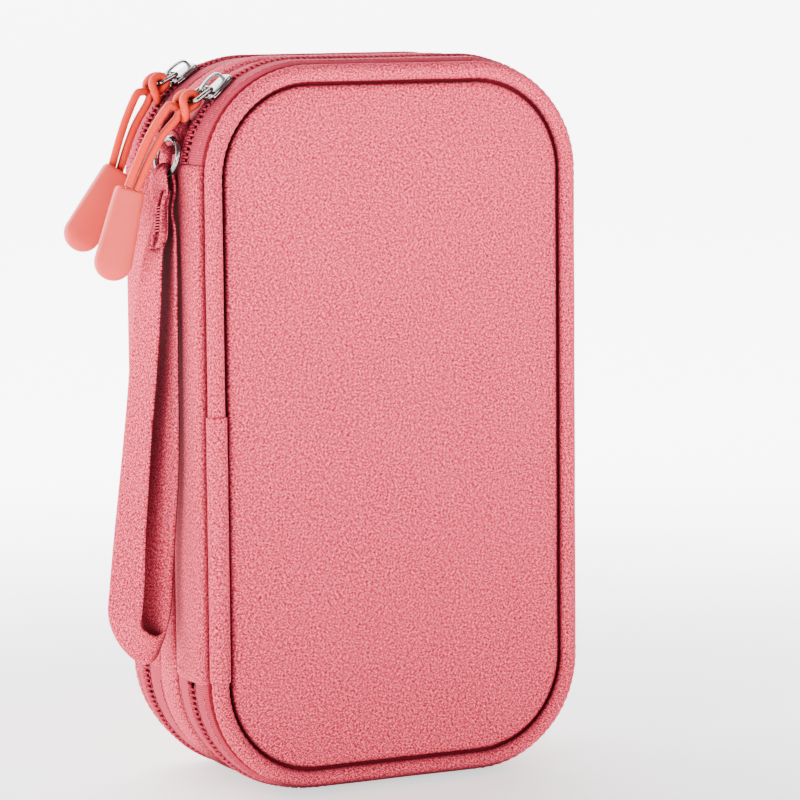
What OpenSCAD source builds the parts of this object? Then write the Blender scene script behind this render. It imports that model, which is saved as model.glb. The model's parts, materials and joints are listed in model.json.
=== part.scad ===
// Double compartment zip-around cable organizer pouch.
// Upright on its bottom edge: front to -Y, spine to -X, zip mouth to +X.

/* [Pouch] */
// Width over the zip line, spine to mouth
body_w = 110; // [90:1:140]
// Height over the zip line, bottom to top
body_h = 192; // [150:1:240]
// Depth over the front and rear piping
body_d = 58; // [50:1:80]
// Corner radius at the zip line
corner_r = 31; // [24:1:45]
// How far the zip line stands out beyond the piping
crown = 1.5; // [0.5:0.5:4]
// Diameter of the piping around both covers
pipe_d = 5; // [3:0.5:7]

/* [Cloth] */
// Thickness of each padded cover panel
panel_t = 2.4; // [1:0.2:4]
// Thickness of the spine cloth
spine_t = 1.4; // [0.8:0.2:3]
// Thickness of the zip tapes
tape_t = 1; // [0.6:0.1:2]
// Thickness of the lining
lining_t = 0.8; // [0.4:0.1:2]
// Half width of the middle gusset
gusset_half = 5; // [3:0.5:9]
// Bottom and top of the spine cloth
spine_z = [29, 165]; // [10:1:190]

/* [Zips] */
// Distance of each zip line from the middle plane
zip_y = 15.5; // [10:0.5:20]
// Half of the gap between the two rows of teeth
teeth_gap = 0.6; // [0.4:0.1:1]
// Width of one row of teeth
teeth_w = 1.2; // [0.8:0.1:2]
// Length, width and plate thickness of a slider
slider_size = [9.4, 7.4, 0.9]; // [1:0.1:16]
// Space from the teeth's middle to each slider plate
slider_gap = 1.5; // [1.2:0.1:3]
// Where the front slider is parked, up from the spine side of the corner arc
front_park = 48; // [25:1:90]
// Where the rear slider is parked
rear_park = 56; // [25:1:90]
// Length of a puller, pivot to end bar
puller_l = 5.4; // [5:0.2:20]
// Lift of the resting pullers off the tape
puller_lift = 8; // [0:1:20]

/* [Pulls] */
// Diameter of the pull cord
cord_d = 2.2; // [1.2:0.1:3]
// Length of a rubber grip
grip_l = 24; // [15:1:40]
// Width of a grip at the cord and at its end
grip_w = [7.4, 10]; // [4:0.2:16]
// Thickness of a grip
grip_t = 4.6; // [3:0.2:8]

/* [Wrist strap] */
// Outside diameter and wire diameter of the strap ring
ring_size = [11, 1.5]; // [1:0.1:20]
// Width and thickness of the strap
strap_size = [9.5, 1.6]; // [0.8:0.1:14]
// Length of the strap from the ring
strap_l = 126; // [80:1:200]
// Gap between the two leaves at the bottom of the strap
strap_gap = 7; // [4:1:30]

/* [Inside] */
// Top of the front mesh pocket
front_pocket_z = 128; // [80:1:160]
// Top of the rear mesh pocket
rear_pocket_z = 144; // [80:1:170]
// Depth of the tray pockets
pocket_d = 4.4; // [4.1:0.1:8]
// Width of the elastic bands on the pockets
band_w = 7; // [4:1:15]

/* [Show] */
// Sub-part to make on its own, or all

/* [Hidden] */

$fn = 48;
half_d = body_d/2;
pipe_r = pipe_d/2;
pipe_in = crown + pipe_r;
pipe_y = half_d - pipe_r;
pipe_cut = pipe_r*0.84;
panel_in = pipe_in + pipe_cut;
flange_y = pipe_y - pipe_cut;
tape_in = 0.8;
teeth_mid = tape_in + tape_t/2;
side_in = tape_in + tape_t;
arc_x = -body_w/2 + corner_r;
arc_z = body_h - corner_r;
lining_y = 20.2;
flange_t = 0.8;
seam_in = pipe_in + pipe_r*0.3;
foam_y = pipe_y - 1.2;
mesh_t = 0.6;
mesh_y = flange_y - 2*flange_t - pocket_d;
page_half = 1.5;
page_x = [-46, 36];
page_d = 5.4;
page_h = 50;
page_z = [19, 71, 123];
cross_z = 62;
upright_x = 4;
slider_r = corner_r - teeth_mid;
bridge_z = slider_gap + slider_size[2];
post_t = 0.8;
post_x = [-3.6, 2.8];
post_h = 2;
wire_r = 0.7;
pivot = [-1.9, bridge_z + 1.05];
hole_x = -56;
hole_z = 171.7;
tab_y = -10.8;
ring_turn = 12;
ring_lean = 12;
tab_t = 3;
fold_t = 1.2;
ring_r = ring_size[0]/2 - ring_size[1]/2;
strap_turn = 33;
strap_lean = [3.3, 1.9];
neck_w = 5.2;
// where the two leaves start, out from the hole and down from the ring
leaf_start = [3.3, 4.4];
ring_room = 0.2;
ring_rise = 1.2;
tab_r = 4.2;
tab_hole_r = 2;
cord_y = 14;
grip_y = 12.6;
// middle line of each pull cord, from the end bar, and its half spread
front_route = [[0, 0], [-4.6, -3], [-9, -8.4], [-12.8, -15.2], [-16, -22.1]];
rear_route = [[0, 0], [-4.6, -4.2], [-7.8, -10], [-10.2, -16], [-12.3, -22.3]];
cord_spread = [2, 1.9, 1.5, 1.3, 1.2];
front_hang = 15;
rear_hang = 32;

module outline(i) {
  w = body_w - 2*i;
  h = body_h - 2*i;
  r = corner_r - i;
  translate([0, body_h/2]) {
    square([w - 2*r, h], center = true);
    square([w, h - 2*r], center = true);
    for (sx = [-1, 1], sz = [-1, 1])
      translate([sx*(w/2 - r), sz*(h/2 - r)]) circle(r = r, $fn = 96);
  }
}

// solid outline from y0 to y1
module slab(i, y0, y1) {
  translate([0, y1, 0]) rotate([90, 0, 0]) linear_extrude(y1 - y0) outline(i);
}

// closed band, t thick, from y0 to y1
module band(i, t, y0, y1) {
  translate([0, y1, 0]) rotate([90, 0, 0]) linear_extrude(y1 - y0)
    difference() {
      outline(i);
      outline(i + t);
    }
}

module spine_zone() {
  h = spine_z[1] - spine_z[0];
  translate([-body_w, -body_d, spine_z[0]]) cube([body_w*0.6, 2*body_d, h]);
}

module below(z) {
  translate([-body_w, -body_d, -5]) cube([2*body_w, 2*body_d, z + 5]);
}

module between(z0, z1) {
  translate([-body_w, -body_d, z0]) cube([2*body_w, 2*body_d, z1 - z0]);
}

// a section drawn at the piping's middle, run once around the outline
module around(i) {
  w = body_w - 2*i;
  h = body_h - 2*i;
  r = corner_r - i;
  for (k = [0:3]) {
    sx = (k == 0 || k == 3) ? 1 : -1;
    sz = (k < 2) ? 1 : -1;
    translate([sx*(w/2 - r), 0, body_h/2 + sz*(h/2 - r)]) rotate([90, 0, 0])
      rotate_extrude(angle = 90, start = 90*k, $fn = 96)
        translate([r, 0]) children();
  }
  translate([w/2, 0, corner_r]) linear_extrude(h - 2*r)
    rotate(0) mirror([0, 1]) children();
  translate([-w/2, 0, corner_r]) linear_extrude(h - 2*r)
    mirror([1, 0]) mirror([0, 1]) children();
  translate([-w/2 + r, 0, h + i]) rotate([0, 90, 0]) linear_extrude(w - 2*r)
    mirror([1, 0]) mirror([0, 1]) children();
  translate([-w/2 + r, 0, i]) rotate([0, 90, 0]) linear_extrude(w - 2*r)
    mirror([0, 1]) children();
}

// cover side parts are drawn for +Y, and mirrored for the front
module piping_section() {
  intersection() {
    circle(r = pipe_r, $fn = 32);
    translate([-pipe_cut, -pipe_r - 1]) square([pipe_r + pipe_cut + 1, pipe_r + pipe_cut + 1]);
  }
}

module cover_piping() {
  translate([0, pipe_y, 0]) around(pipe_in) piping_section();
}

module cover_panel() {
  slab(panel_in, foam_y, foam_y + panel_t);
}

module cover_foam() {
  slab(panel_in + 0.1, flange_y - flange_t, foam_y);
}

module tape_outer() {
  difference() {
    union() {
      band(tape_in, tape_t, zip_y + teeth_gap + teeth_w, flange_y);
      band(side_in, seam_in - side_in, flange_y - flange_t, flange_y);
    }
    spine_zone();
  }
}

module teeth_outer() {
  difference() {
    band(tape_in, tape_t, zip_y + teeth_gap, zip_y + teeth_gap + teeth_w);
    spine_zone();
  }
}

module spine_panel() {
  intersection() {
    union() {
      band(0, spine_t, zip_y + 0.5, flange_y);
      band(spine_t, seam_in - spine_t, flange_y - flange_t, flange_y);
    }
    spine_zone();
  }
}

module cover_lining() {
  band(side_in, lining_t, lining_y, flange_y - 2*flange_t);
  slab(side_in, flange_y - 2*flange_t, flange_y - flange_t);
}

// mesh pocket, open at its top edge
module mesh_pocket(z) {
  intersection() {
    difference() {
      slab(side_in + lining_t, mesh_y - mesh_t, flange_y - 2*flange_t);
      slab(side_in + lining_t + mesh_t, mesh_y, flange_y);
    }
    below(z);
  }
}

module pocket_band(z0, z1) {
  intersection() {
    slab(side_in + lining_t, mesh_y - 2*mesh_t, mesh_y - mesh_t);
    between(z0, z1);
  }
}

module tape_inner() {
  difference() {
    band(tape_in, tape_t, gusset_half, zip_y - teeth_gap - teeth_w);
    spine_zone();
  }
}

module teeth_inner() {
  difference() {
    band(tape_in, tape_t, zip_y - teeth_gap - teeth_w, zip_y - teeth_gap);
    spine_zone();
  }
}

module spine_strip() {
  intersection() {
    band(0, spine_t, gusset_half, zip_y - 0.5);
    spine_zone();
  }
}

// pocket on the middle page, open toward the mouth
module page_pocket(z0) {
  difference() {
    translate([page_x[0], -page_half - page_d, z0])
      cube([page_x[1] - page_x[0], page_d, page_h]);
    translate([page_x[0] + lining_t, -page_half - page_d + lining_t, z0 + lining_t])
      cube([page_x[1] - page_x[0], page_d, page_h - 2*lining_t]);
  }
}

// placed on the corner arc: X along the zip, Z away from the pouch
module on_arc(park, y) {
  translate([arc_x, y, arc_z]) rotate([0, park - 90, 0])
    translate([0, 0, slider_r]) children();
}

module slider() {
  l = slider_size[0];
  w = slider_size[1];
  t = slider_size[2];
  for (z = [-slider_gap - t, slider_gap])
    difference() {
      translate([-l/2, -w/2, z]) cube([l, w, t]);
      for (s = [-1, 1])
        translate([l/2 - 3, s*(w/2 + 0.6), z - 1]) rotate(s*9)
          translate([0, s > 0 ? -0.6 : -1.4, 0]) cube([l, 2, t + 2]);
    }
  translate([-l/2 + 1, -0.35, -slider_gap]) cube([1.8, 0.7, 2*slider_gap]);
  for (x = post_x)
    translate([x, -1, bridge_z]) cube([post_t, 2, post_h]);
  translate([post_x[0], -1, bridge_z + post_h])
    cube([post_x[1] + post_t - post_x[0], 2, wire_r]);
}

// loop of wire that the cord is tied to
module puller() {
  w = slider_size[1];
  rotate([0, puller_lift, 0]) {
    rotate([90, 0, 0]) cylinder(r = wire_r, h = w - 0.6, center = true);
    translate([-puller_l, 0, 0]) rotate([90, 0, 0])
      cylinder(r = wire_r + 0.1, h = w - 0.6, center = true);
    for (s = [-1, 1])
      translate([-puller_l - wire_r - 0.1, s*(w/2 - 0.3) - 0.6, -wire_r])
        cube([puller_l + 2*wire_r + 0.1, 1.2, 2*wire_r]);
  }
}

module placed_puller(park, y) {
  on_arc(park, y) translate([pivot[0], 0, pivot[1]]) puller();
}

// middle of the end bar in X and Z
function bar_at(park) =
  let (a = park - 90 + puller_lift, r = slider_r + pivot[1])
  [arc_x - r*cos(park) + pivot[0]*sin(park) - puller_l*cos(a),
   arc_z + r*sin(park) + pivot[0]*cos(park) + puller_l*sin(a)];

function unit(v) = v/norm(v);
function heading(p, i) = unit(p[min(i + 1, len(p) - 1)] - p[max(i - 1, 0)]);
function side_of(p, i, s) = p[i] + s*cord_spread[i]*[heading(p, i)[1], -heading(p, i)[0]];
function turn(p) =
  let (h = heading(p, 0), n = [h[1], -h[0]])
  [for (a = [30:30:150]) p[0] + cord_spread[0]*(-sin(a)*h + cos(a)*n)];
function strands(p) = concat(
  [for (i = [len(p) - 1:-1:0]) side_of(p, i, 1)],
  turn(p),
  [for (i = [0:len(p) - 1]) side_of(p, i, -1)]);

// round cord through points in the XZ plane
module tube(p, r, sides = 8) {
  n = len(p);
  rings = [for (i = [0:n - 1]) let (h = heading(p, i), q = [-h[1], h[0]])
    [for (k = [0:sides - 1])
      let (a = 360*k/sides)
      [p[i][0] + r*cos(a)*q[0], r*sin(a), p[i][1] + r*cos(a)*q[1]]]];
  walls = [for (i = [0:n - 2], k = [0:sides - 1])
    let (j = (k + 1) % sides)
    [i*sides + k, i*sides + j, (i + 1)*sides + j, (i + 1)*sides + k]];
  first = [for (k = [sides - 1:-1:0]) k];
  last = [for (k = [0:sides - 1]) (n - 1)*sides + k];
  polyhedron([for (c = rings, v = c) v], concat(walls, [first, last]), convexity = 6);
}

function moved(route, o) = [for (v = route) v + o];

module pull_cord(route, park) {
  tube(strands(moved(route, bar_at(park))), cord_d/2);
}

module grip(route, park, hang) {
  end = route[len(route) - 1] + bar_at(park);
  a = grip_w[0]/2;
  b = grip_w[1]/2;
  translate([end[0], grip_t/2, end[1]]) rotate([0, hang, 0]) rotate([90, 0, 0])
    linear_extrude(grip_t)
      polygon([
        [-a, 0], [a, 0], [b, -grip_l + 3], [b - 0.6, -grip_l + 1],
        [0, -grip_l], [-b + 0.6, -grip_l + 1], [-b, -grip_l + 3]
      ]);
}

// the middle of the tab's hole
module at_tab() {
  translate([hole_x, tab_y, hole_z]) children();
}

module strap_tab_shape() {
  difference() {
    at_tab() rotate([90, 0, 0]) linear_extrude(tab_t, center = true)
      difference() {
        union() {
          circle(r = tab_r);
          translate([0, -tab_r + 1]) square(2*tab_r - 0.4);
        }
        circle(r = tab_hole_r);
      }
    slab(tape_in, -zip_y, 0);
  }
}

// hangs in the tab's hole, leaning away from the spine
module in_ring() {
  at_tab() rotate([0, ring_lean, ring_turn]) translate([0, 0, -ring_r]) children();
}

module ring_shape() {
  in_ring() rotate([0, 90, 0])
    rotate_extrude($fn = 64) translate([ring_r, 0]) circle(r = ring_size[1]/2, $fn = 24);
}

// side view of the two leaves with their round bottom fold
module leaves_side() {
  t = strap_size[1];
  g = strap_gap/2;
  end = -strap_l + 14;
  difference() {
    union() {
      polygon([
        [-t, 0], [t, 0], [t + 0.2, -8], [g + t, -60],
        [g + t, end], [-g - t, end], [-g - t, -60], [-t - 0.2, -8]
      ]);
      translate([0, end]) circle(r = g + t);
    }
    polygon([[0.15, -10], [g, -60], [g, end], [-g, end], [-g, -60], [-0.15, -10]]);
    translate([0, end]) circle(r = g);
  }
}

// front view: a narrow neck that widens to the full webbing
module leaves_front() {
  a = neck_w/2;
  b = strap_size[0]/2;
  polygon([
    [-a, 0], [a, 0], [a, -7], [b, -24],
    [b, -strap_l], [-b, -strap_l], [-b, -24], [-a, -7]
  ]);
}

// folded over the ring, then two leaves turned away from the spine
module wrist_strap_shape() {
  r = ring_size[1]/2 + ring_room;
  in_ring() translate([0, 0, -ring_r]) rotate([90, 0, 0])
    linear_extrude(neck_w, center = true)
      difference() {
        union() {
          for (z = [0, ring_rise]) translate([0, z]) circle(r = r + fold_t);
          translate([-r - fold_t, -5]) square([2*(r + fold_t), 5 + ring_rise]);
        }
        for (z = [0, ring_rise]) translate([0, z]) circle(r = r);
        translate([-r, 0]) square([2*r, ring_rise]);
      }
  translate([hole_x - leaf_start[0], tab_y, hole_z - 2*ring_r - leaf_start[1]])
    rotate(strap_turn)
      rotate([strap_lean[0], strap_lean[1], 0]) intersection() {
        rotate([90, 0, 0]) linear_extrude(strap_size[0], center = true) leaves_side();
        rotate([90, 0, 90]) linear_extrude(4*strap_gap, center = true) leaves_front();
      }
}

// the middle page and its gusset
module divider_page() { color("lightgray") slab(side_in, -page_half, page_half); }
module page_pocket_top() { color("silver") page_pocket(page_z[2]); }
module page_pocket_middle() { color("silver") page_pocket(page_z[1]); }
module page_pocket_bottom() { color("silver") page_pocket(page_z[0]); }
module page_pocket_bands() {
  color("gray") for (z = page_z)
    translate([page_x[1], -page_half - page_d, z]) cube([3, lining_t, page_h]);
}
module middle_gusset() { color("salmon") band(0, side_in, -gusset_half, gusset_half); }
module front_tape_inner() { color("indianred") mirror([0, 1, 0]) tape_inner(); }
module front_teeth_inner() { color("firebrick") mirror([0, 1, 0]) teeth_inner(); }
module front_spine_strip() { color("lightcoral") mirror([0, 1, 0]) spine_strip(); }
module rear_tape_inner() { color("indianred") tape_inner(); }
module rear_teeth_inner() { color("firebrick") teeth_inner(); }
module rear_spine_strip() { color("lightcoral") spine_strip(); }

// wrist strap and its mounting
module strap_tab() { color("lightcoral") strap_tab_shape(); }
module strap_ring() { color("silver") ring_shape(); }
module wrist_strap() { color("salmon") wrist_strap_shape(); }

// front cover
module front_panel() { color("lightcoral") mirror([0, 1, 0]) cover_panel(); }
module front_foam() { color("white") mirror([0, 1, 0]) cover_foam(); }
module front_piping() { color("salmon") mirror([0, 1, 0]) cover_piping(); }
module front_tape_outer() { color("indianred") mirror([0, 1, 0]) tape_outer(); }
module front_teeth_outer() { color("firebrick") mirror([0, 1, 0]) teeth_outer(); }
module front_spine_panel() { color("lightcoral") mirror([0, 1, 0]) spine_panel(); }
module front_lining() { color("gainsboro") mirror([0, 1, 0]) cover_lining(); }
module front_mesh_pocket() { color("gray") mirror([0, 1, 0]) mesh_pocket(front_pocket_z); }
module front_pocket_top_band() {
  color("dimgray") mirror([0, 1, 0]) pocket_band(front_pocket_z - band_w, front_pocket_z);
}
module front_pocket_cross_band() {
  color("dimgray") mirror([0, 1, 0]) intersection() {
    pocket_band(cross_z, cross_z + band_w);
    translate([-body_w, 0, 0]) cube([body_w + upright_x, body_d, body_h]);
  }
  color("dimgray") mirror([0, 1, 0]) intersection() {
    pocket_band(cross_z, cross_z + band_w);
    translate([upright_x + band_w, 0, 0]) cube([body_w, body_d, body_h]);
  }
}
module front_pocket_upright_band() {
  color("dimgray") mirror([0, 1, 0]) intersection() {
    pocket_band(0, front_pocket_z - band_w);
    translate([upright_x, 0, 0]) cube([band_w, body_d, body_h]);
  }
}

// rear cover
module rear_panel() { color("lightcoral") cover_panel(); }
module rear_foam() { color("white") cover_foam(); }
module rear_piping() { color("salmon") cover_piping(); }
module rear_tape_outer() { color("indianred") tape_outer(); }
module rear_teeth_outer() { color("firebrick") teeth_outer(); }
module rear_spine_panel() { color("lightcoral") spine_panel(); }
module rear_lining() { color("gainsboro") cover_lining(); }
module rear_mesh_pocket() { color("gray") mesh_pocket(rear_pocket_z); }
module rear_pocket_band() { color("dimgray") pocket_band(rear_pocket_z - band_w, rear_pocket_z); }

// sliders, pullers and pull cords
module front_slider() { color("silver") on_arc(front_park, -zip_y) slider(); }
module front_puller() { color("silver") placed_puller(front_park, -zip_y); }
module front_pull_cord() {
  color("coral") translate([0, -cord_y, 0]) pull_cord(front_route, front_park);
}
module front_grip() {
  color("lightsalmon") translate([0, -grip_y, 0]) grip(front_route, front_park, front_hang);
}
module rear_slider() { color("silver") on_arc(rear_park, zip_y) slider(); }
module rear_puller() { color("silver") placed_puller(rear_park, zip_y); }
module rear_pull_cord() {
  color("coral") translate([0, cord_y, 0]) pull_cord(rear_route, rear_park);
}
module rear_grip() {
  color("lightsalmon") translate([0, grip_y, 0]) grip(rear_route, rear_park, rear_hang);
}

divider_page();
page_pocket_top();
page_pocket_middle();
page_pocket_bottom();
page_pocket_bands();
middle_gusset();
front_tape_inner();
front_teeth_inner();
front_spine_strip();
rear_tape_inner();
rear_teeth_inner();
rear_spine_strip();
strap_tab();
strap_ring();
wrist_strap();
front_panel();
front_foam();
front_piping();
front_tape_outer();
front_teeth_outer();
front_spine_panel();
front_lining();
front_mesh_pocket();
front_pocket_top_band();
front_pocket_cross_band();
front_pocket_upright_band();
rear_panel();
rear_foam();
rear_piping();
rear_tape_outer();
rear_teeth_outer();
rear_spine_panel();
rear_lining();
rear_mesh_pocket();
rear_pocket_band();
front_slider();
front_puller();
front_pull_cord();
front_grip();
rear_slider();
rear_puller();
rear_pull_cord();
rear_grip();
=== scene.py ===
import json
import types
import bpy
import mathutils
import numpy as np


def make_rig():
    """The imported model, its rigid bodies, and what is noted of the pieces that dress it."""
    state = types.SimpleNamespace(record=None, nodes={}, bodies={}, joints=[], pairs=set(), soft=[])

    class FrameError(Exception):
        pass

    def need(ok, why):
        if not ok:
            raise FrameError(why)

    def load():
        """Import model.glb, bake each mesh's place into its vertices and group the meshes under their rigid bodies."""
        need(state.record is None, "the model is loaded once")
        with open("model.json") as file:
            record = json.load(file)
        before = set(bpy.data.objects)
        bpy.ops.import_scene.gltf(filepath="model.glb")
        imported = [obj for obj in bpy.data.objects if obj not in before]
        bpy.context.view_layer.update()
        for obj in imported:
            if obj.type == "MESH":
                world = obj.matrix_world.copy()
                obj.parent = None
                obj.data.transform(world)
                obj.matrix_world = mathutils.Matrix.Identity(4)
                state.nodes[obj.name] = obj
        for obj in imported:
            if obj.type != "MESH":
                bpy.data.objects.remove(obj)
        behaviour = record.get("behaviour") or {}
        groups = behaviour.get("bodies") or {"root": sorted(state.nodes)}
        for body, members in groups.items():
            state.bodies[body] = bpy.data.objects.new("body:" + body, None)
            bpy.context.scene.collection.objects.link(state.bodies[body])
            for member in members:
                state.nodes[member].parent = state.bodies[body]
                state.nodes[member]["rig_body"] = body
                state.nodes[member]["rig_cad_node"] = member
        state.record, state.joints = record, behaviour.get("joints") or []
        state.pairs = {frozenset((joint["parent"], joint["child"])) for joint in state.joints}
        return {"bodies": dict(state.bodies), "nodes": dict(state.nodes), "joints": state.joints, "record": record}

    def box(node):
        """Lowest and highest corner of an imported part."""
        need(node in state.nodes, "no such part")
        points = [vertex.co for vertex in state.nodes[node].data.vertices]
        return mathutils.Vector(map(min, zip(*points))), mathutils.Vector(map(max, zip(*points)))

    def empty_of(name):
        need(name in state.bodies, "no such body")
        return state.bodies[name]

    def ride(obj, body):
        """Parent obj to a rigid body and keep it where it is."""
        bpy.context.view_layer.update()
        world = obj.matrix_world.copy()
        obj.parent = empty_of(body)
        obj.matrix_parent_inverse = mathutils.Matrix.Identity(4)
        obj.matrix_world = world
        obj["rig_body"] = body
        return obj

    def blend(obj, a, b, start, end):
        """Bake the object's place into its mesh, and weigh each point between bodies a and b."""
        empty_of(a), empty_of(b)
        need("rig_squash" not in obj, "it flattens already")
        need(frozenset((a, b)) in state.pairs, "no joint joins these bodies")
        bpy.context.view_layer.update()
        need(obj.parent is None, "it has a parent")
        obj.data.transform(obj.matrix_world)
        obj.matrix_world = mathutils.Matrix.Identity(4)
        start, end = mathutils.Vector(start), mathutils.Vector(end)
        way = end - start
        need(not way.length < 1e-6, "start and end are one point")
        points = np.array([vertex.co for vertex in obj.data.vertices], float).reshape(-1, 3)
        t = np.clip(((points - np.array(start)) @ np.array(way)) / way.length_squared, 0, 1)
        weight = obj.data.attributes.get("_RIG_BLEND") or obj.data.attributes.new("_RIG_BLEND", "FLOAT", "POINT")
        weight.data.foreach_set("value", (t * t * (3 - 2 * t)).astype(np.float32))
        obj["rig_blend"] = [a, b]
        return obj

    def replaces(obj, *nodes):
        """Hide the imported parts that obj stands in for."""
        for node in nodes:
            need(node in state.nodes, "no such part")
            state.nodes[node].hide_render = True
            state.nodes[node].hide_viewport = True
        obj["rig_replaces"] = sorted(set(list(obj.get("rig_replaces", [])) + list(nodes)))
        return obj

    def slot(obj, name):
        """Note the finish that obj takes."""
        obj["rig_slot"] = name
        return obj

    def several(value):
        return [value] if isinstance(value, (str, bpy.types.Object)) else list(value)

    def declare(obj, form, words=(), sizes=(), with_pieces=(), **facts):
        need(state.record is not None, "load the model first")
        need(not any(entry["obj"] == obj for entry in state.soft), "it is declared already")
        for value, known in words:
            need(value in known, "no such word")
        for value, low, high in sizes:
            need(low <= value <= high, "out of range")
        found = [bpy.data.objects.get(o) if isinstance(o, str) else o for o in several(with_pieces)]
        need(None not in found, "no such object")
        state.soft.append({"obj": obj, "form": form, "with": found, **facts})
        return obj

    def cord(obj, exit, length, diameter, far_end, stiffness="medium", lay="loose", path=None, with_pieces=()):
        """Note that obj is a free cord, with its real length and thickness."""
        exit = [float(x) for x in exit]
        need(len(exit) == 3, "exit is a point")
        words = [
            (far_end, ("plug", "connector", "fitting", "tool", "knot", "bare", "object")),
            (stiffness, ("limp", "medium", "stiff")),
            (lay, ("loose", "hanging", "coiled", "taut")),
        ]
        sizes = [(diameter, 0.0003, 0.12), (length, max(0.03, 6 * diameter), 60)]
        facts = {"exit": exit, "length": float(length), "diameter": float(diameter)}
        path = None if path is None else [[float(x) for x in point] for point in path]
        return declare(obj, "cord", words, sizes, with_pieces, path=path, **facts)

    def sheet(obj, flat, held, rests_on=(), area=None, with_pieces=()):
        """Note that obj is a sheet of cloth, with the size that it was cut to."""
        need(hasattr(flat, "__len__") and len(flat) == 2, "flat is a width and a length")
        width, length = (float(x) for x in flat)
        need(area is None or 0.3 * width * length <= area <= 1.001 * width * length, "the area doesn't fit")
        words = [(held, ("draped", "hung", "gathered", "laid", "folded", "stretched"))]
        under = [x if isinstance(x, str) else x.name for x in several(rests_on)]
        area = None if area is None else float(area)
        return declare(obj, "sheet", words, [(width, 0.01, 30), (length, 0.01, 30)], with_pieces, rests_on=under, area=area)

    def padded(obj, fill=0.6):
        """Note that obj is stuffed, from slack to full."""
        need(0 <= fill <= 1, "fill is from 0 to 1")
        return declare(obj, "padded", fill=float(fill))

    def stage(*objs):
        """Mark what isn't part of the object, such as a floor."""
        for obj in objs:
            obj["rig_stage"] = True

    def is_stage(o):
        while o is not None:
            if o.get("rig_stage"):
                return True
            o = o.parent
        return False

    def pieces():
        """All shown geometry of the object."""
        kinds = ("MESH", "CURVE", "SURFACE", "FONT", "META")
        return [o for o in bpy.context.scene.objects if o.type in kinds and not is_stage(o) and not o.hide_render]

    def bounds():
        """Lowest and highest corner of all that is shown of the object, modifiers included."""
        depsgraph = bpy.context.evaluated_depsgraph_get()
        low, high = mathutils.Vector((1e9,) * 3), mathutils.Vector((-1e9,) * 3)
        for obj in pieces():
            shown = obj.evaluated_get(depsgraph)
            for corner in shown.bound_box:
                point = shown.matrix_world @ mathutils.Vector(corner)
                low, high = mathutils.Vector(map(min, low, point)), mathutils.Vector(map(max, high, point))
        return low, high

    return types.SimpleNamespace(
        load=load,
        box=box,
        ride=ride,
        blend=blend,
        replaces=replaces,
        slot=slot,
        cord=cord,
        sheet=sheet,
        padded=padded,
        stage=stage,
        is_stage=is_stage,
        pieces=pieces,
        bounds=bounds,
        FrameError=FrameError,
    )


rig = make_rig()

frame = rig.load()

import json
import math

import bmesh
import bpy
import numpy as np
from mathutils import Matrix, Vector

# Everything below is worked out in millimetres and scaled when a mesh is made.
MM = 0.001
METRE = 1000
CAD_BOX = [list(v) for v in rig.bounds()]
BODY = [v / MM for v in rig.box("middle_gusset")[1]]
BODY_W, BODY_H = 2 * BODY[0], BODY[2]
CORNER_R = 31.0
# Each zip's middle line lies this far from the middle of the pouch; the piping's centre, inset and radius.
ZIP_Y = 15.5
PIPE_Y = 26.5
PIPE_IN = 4.0
PIPE_R = 2.38
# The spine cloths' upper and lower ends.
SPINE_TOP, SPINE_LOW = 165.0, 31.2
# Centre of the corner arc on which the sliders are parked, their radius on it and their angles in degrees.
ARC_X, ARC_Z = -BODY_W / 2 + CORNER_R, BODY_H - CORNER_R
SLIDER_R = CORNER_R - 1.3
PARK = {"front": 48.0, "rear": 56.0}
SIDE = {"front": -1, "rear": 1}


# ---------------------------------------------------------------- camera
def make_camera():
    """Long lens fitted to the outline in the photo."""
    yaw, pitch, roll = map(math.radians, (-26.242, 6.646, 0.528))
    distance = 0.99485
    target = Vector((0.01438, 0, 0.0988))
    back = Vector((math.sin(yaw) * math.cos(pitch), -math.cos(yaw) * math.cos(pitch), math.sin(pitch)))
    turned = (-back).to_track_quat("-Z", "Y") @ Matrix.Rotation(-roll, 3, "Z").to_quaternion()
    data = bpy.data.cameras.new("camera")
    data.lens, data.sensor_width = 165.9, 36
    camera = bpy.data.objects.new("camera", data)
    camera.rotation_mode = "QUATERNION"
    camera.location = target + back * distance
    camera.rotation_quaternion = turned
    bpy.context.scene.collection.objects.link(camera)
    bpy.context.scene.camera = camera


make_camera()


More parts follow.
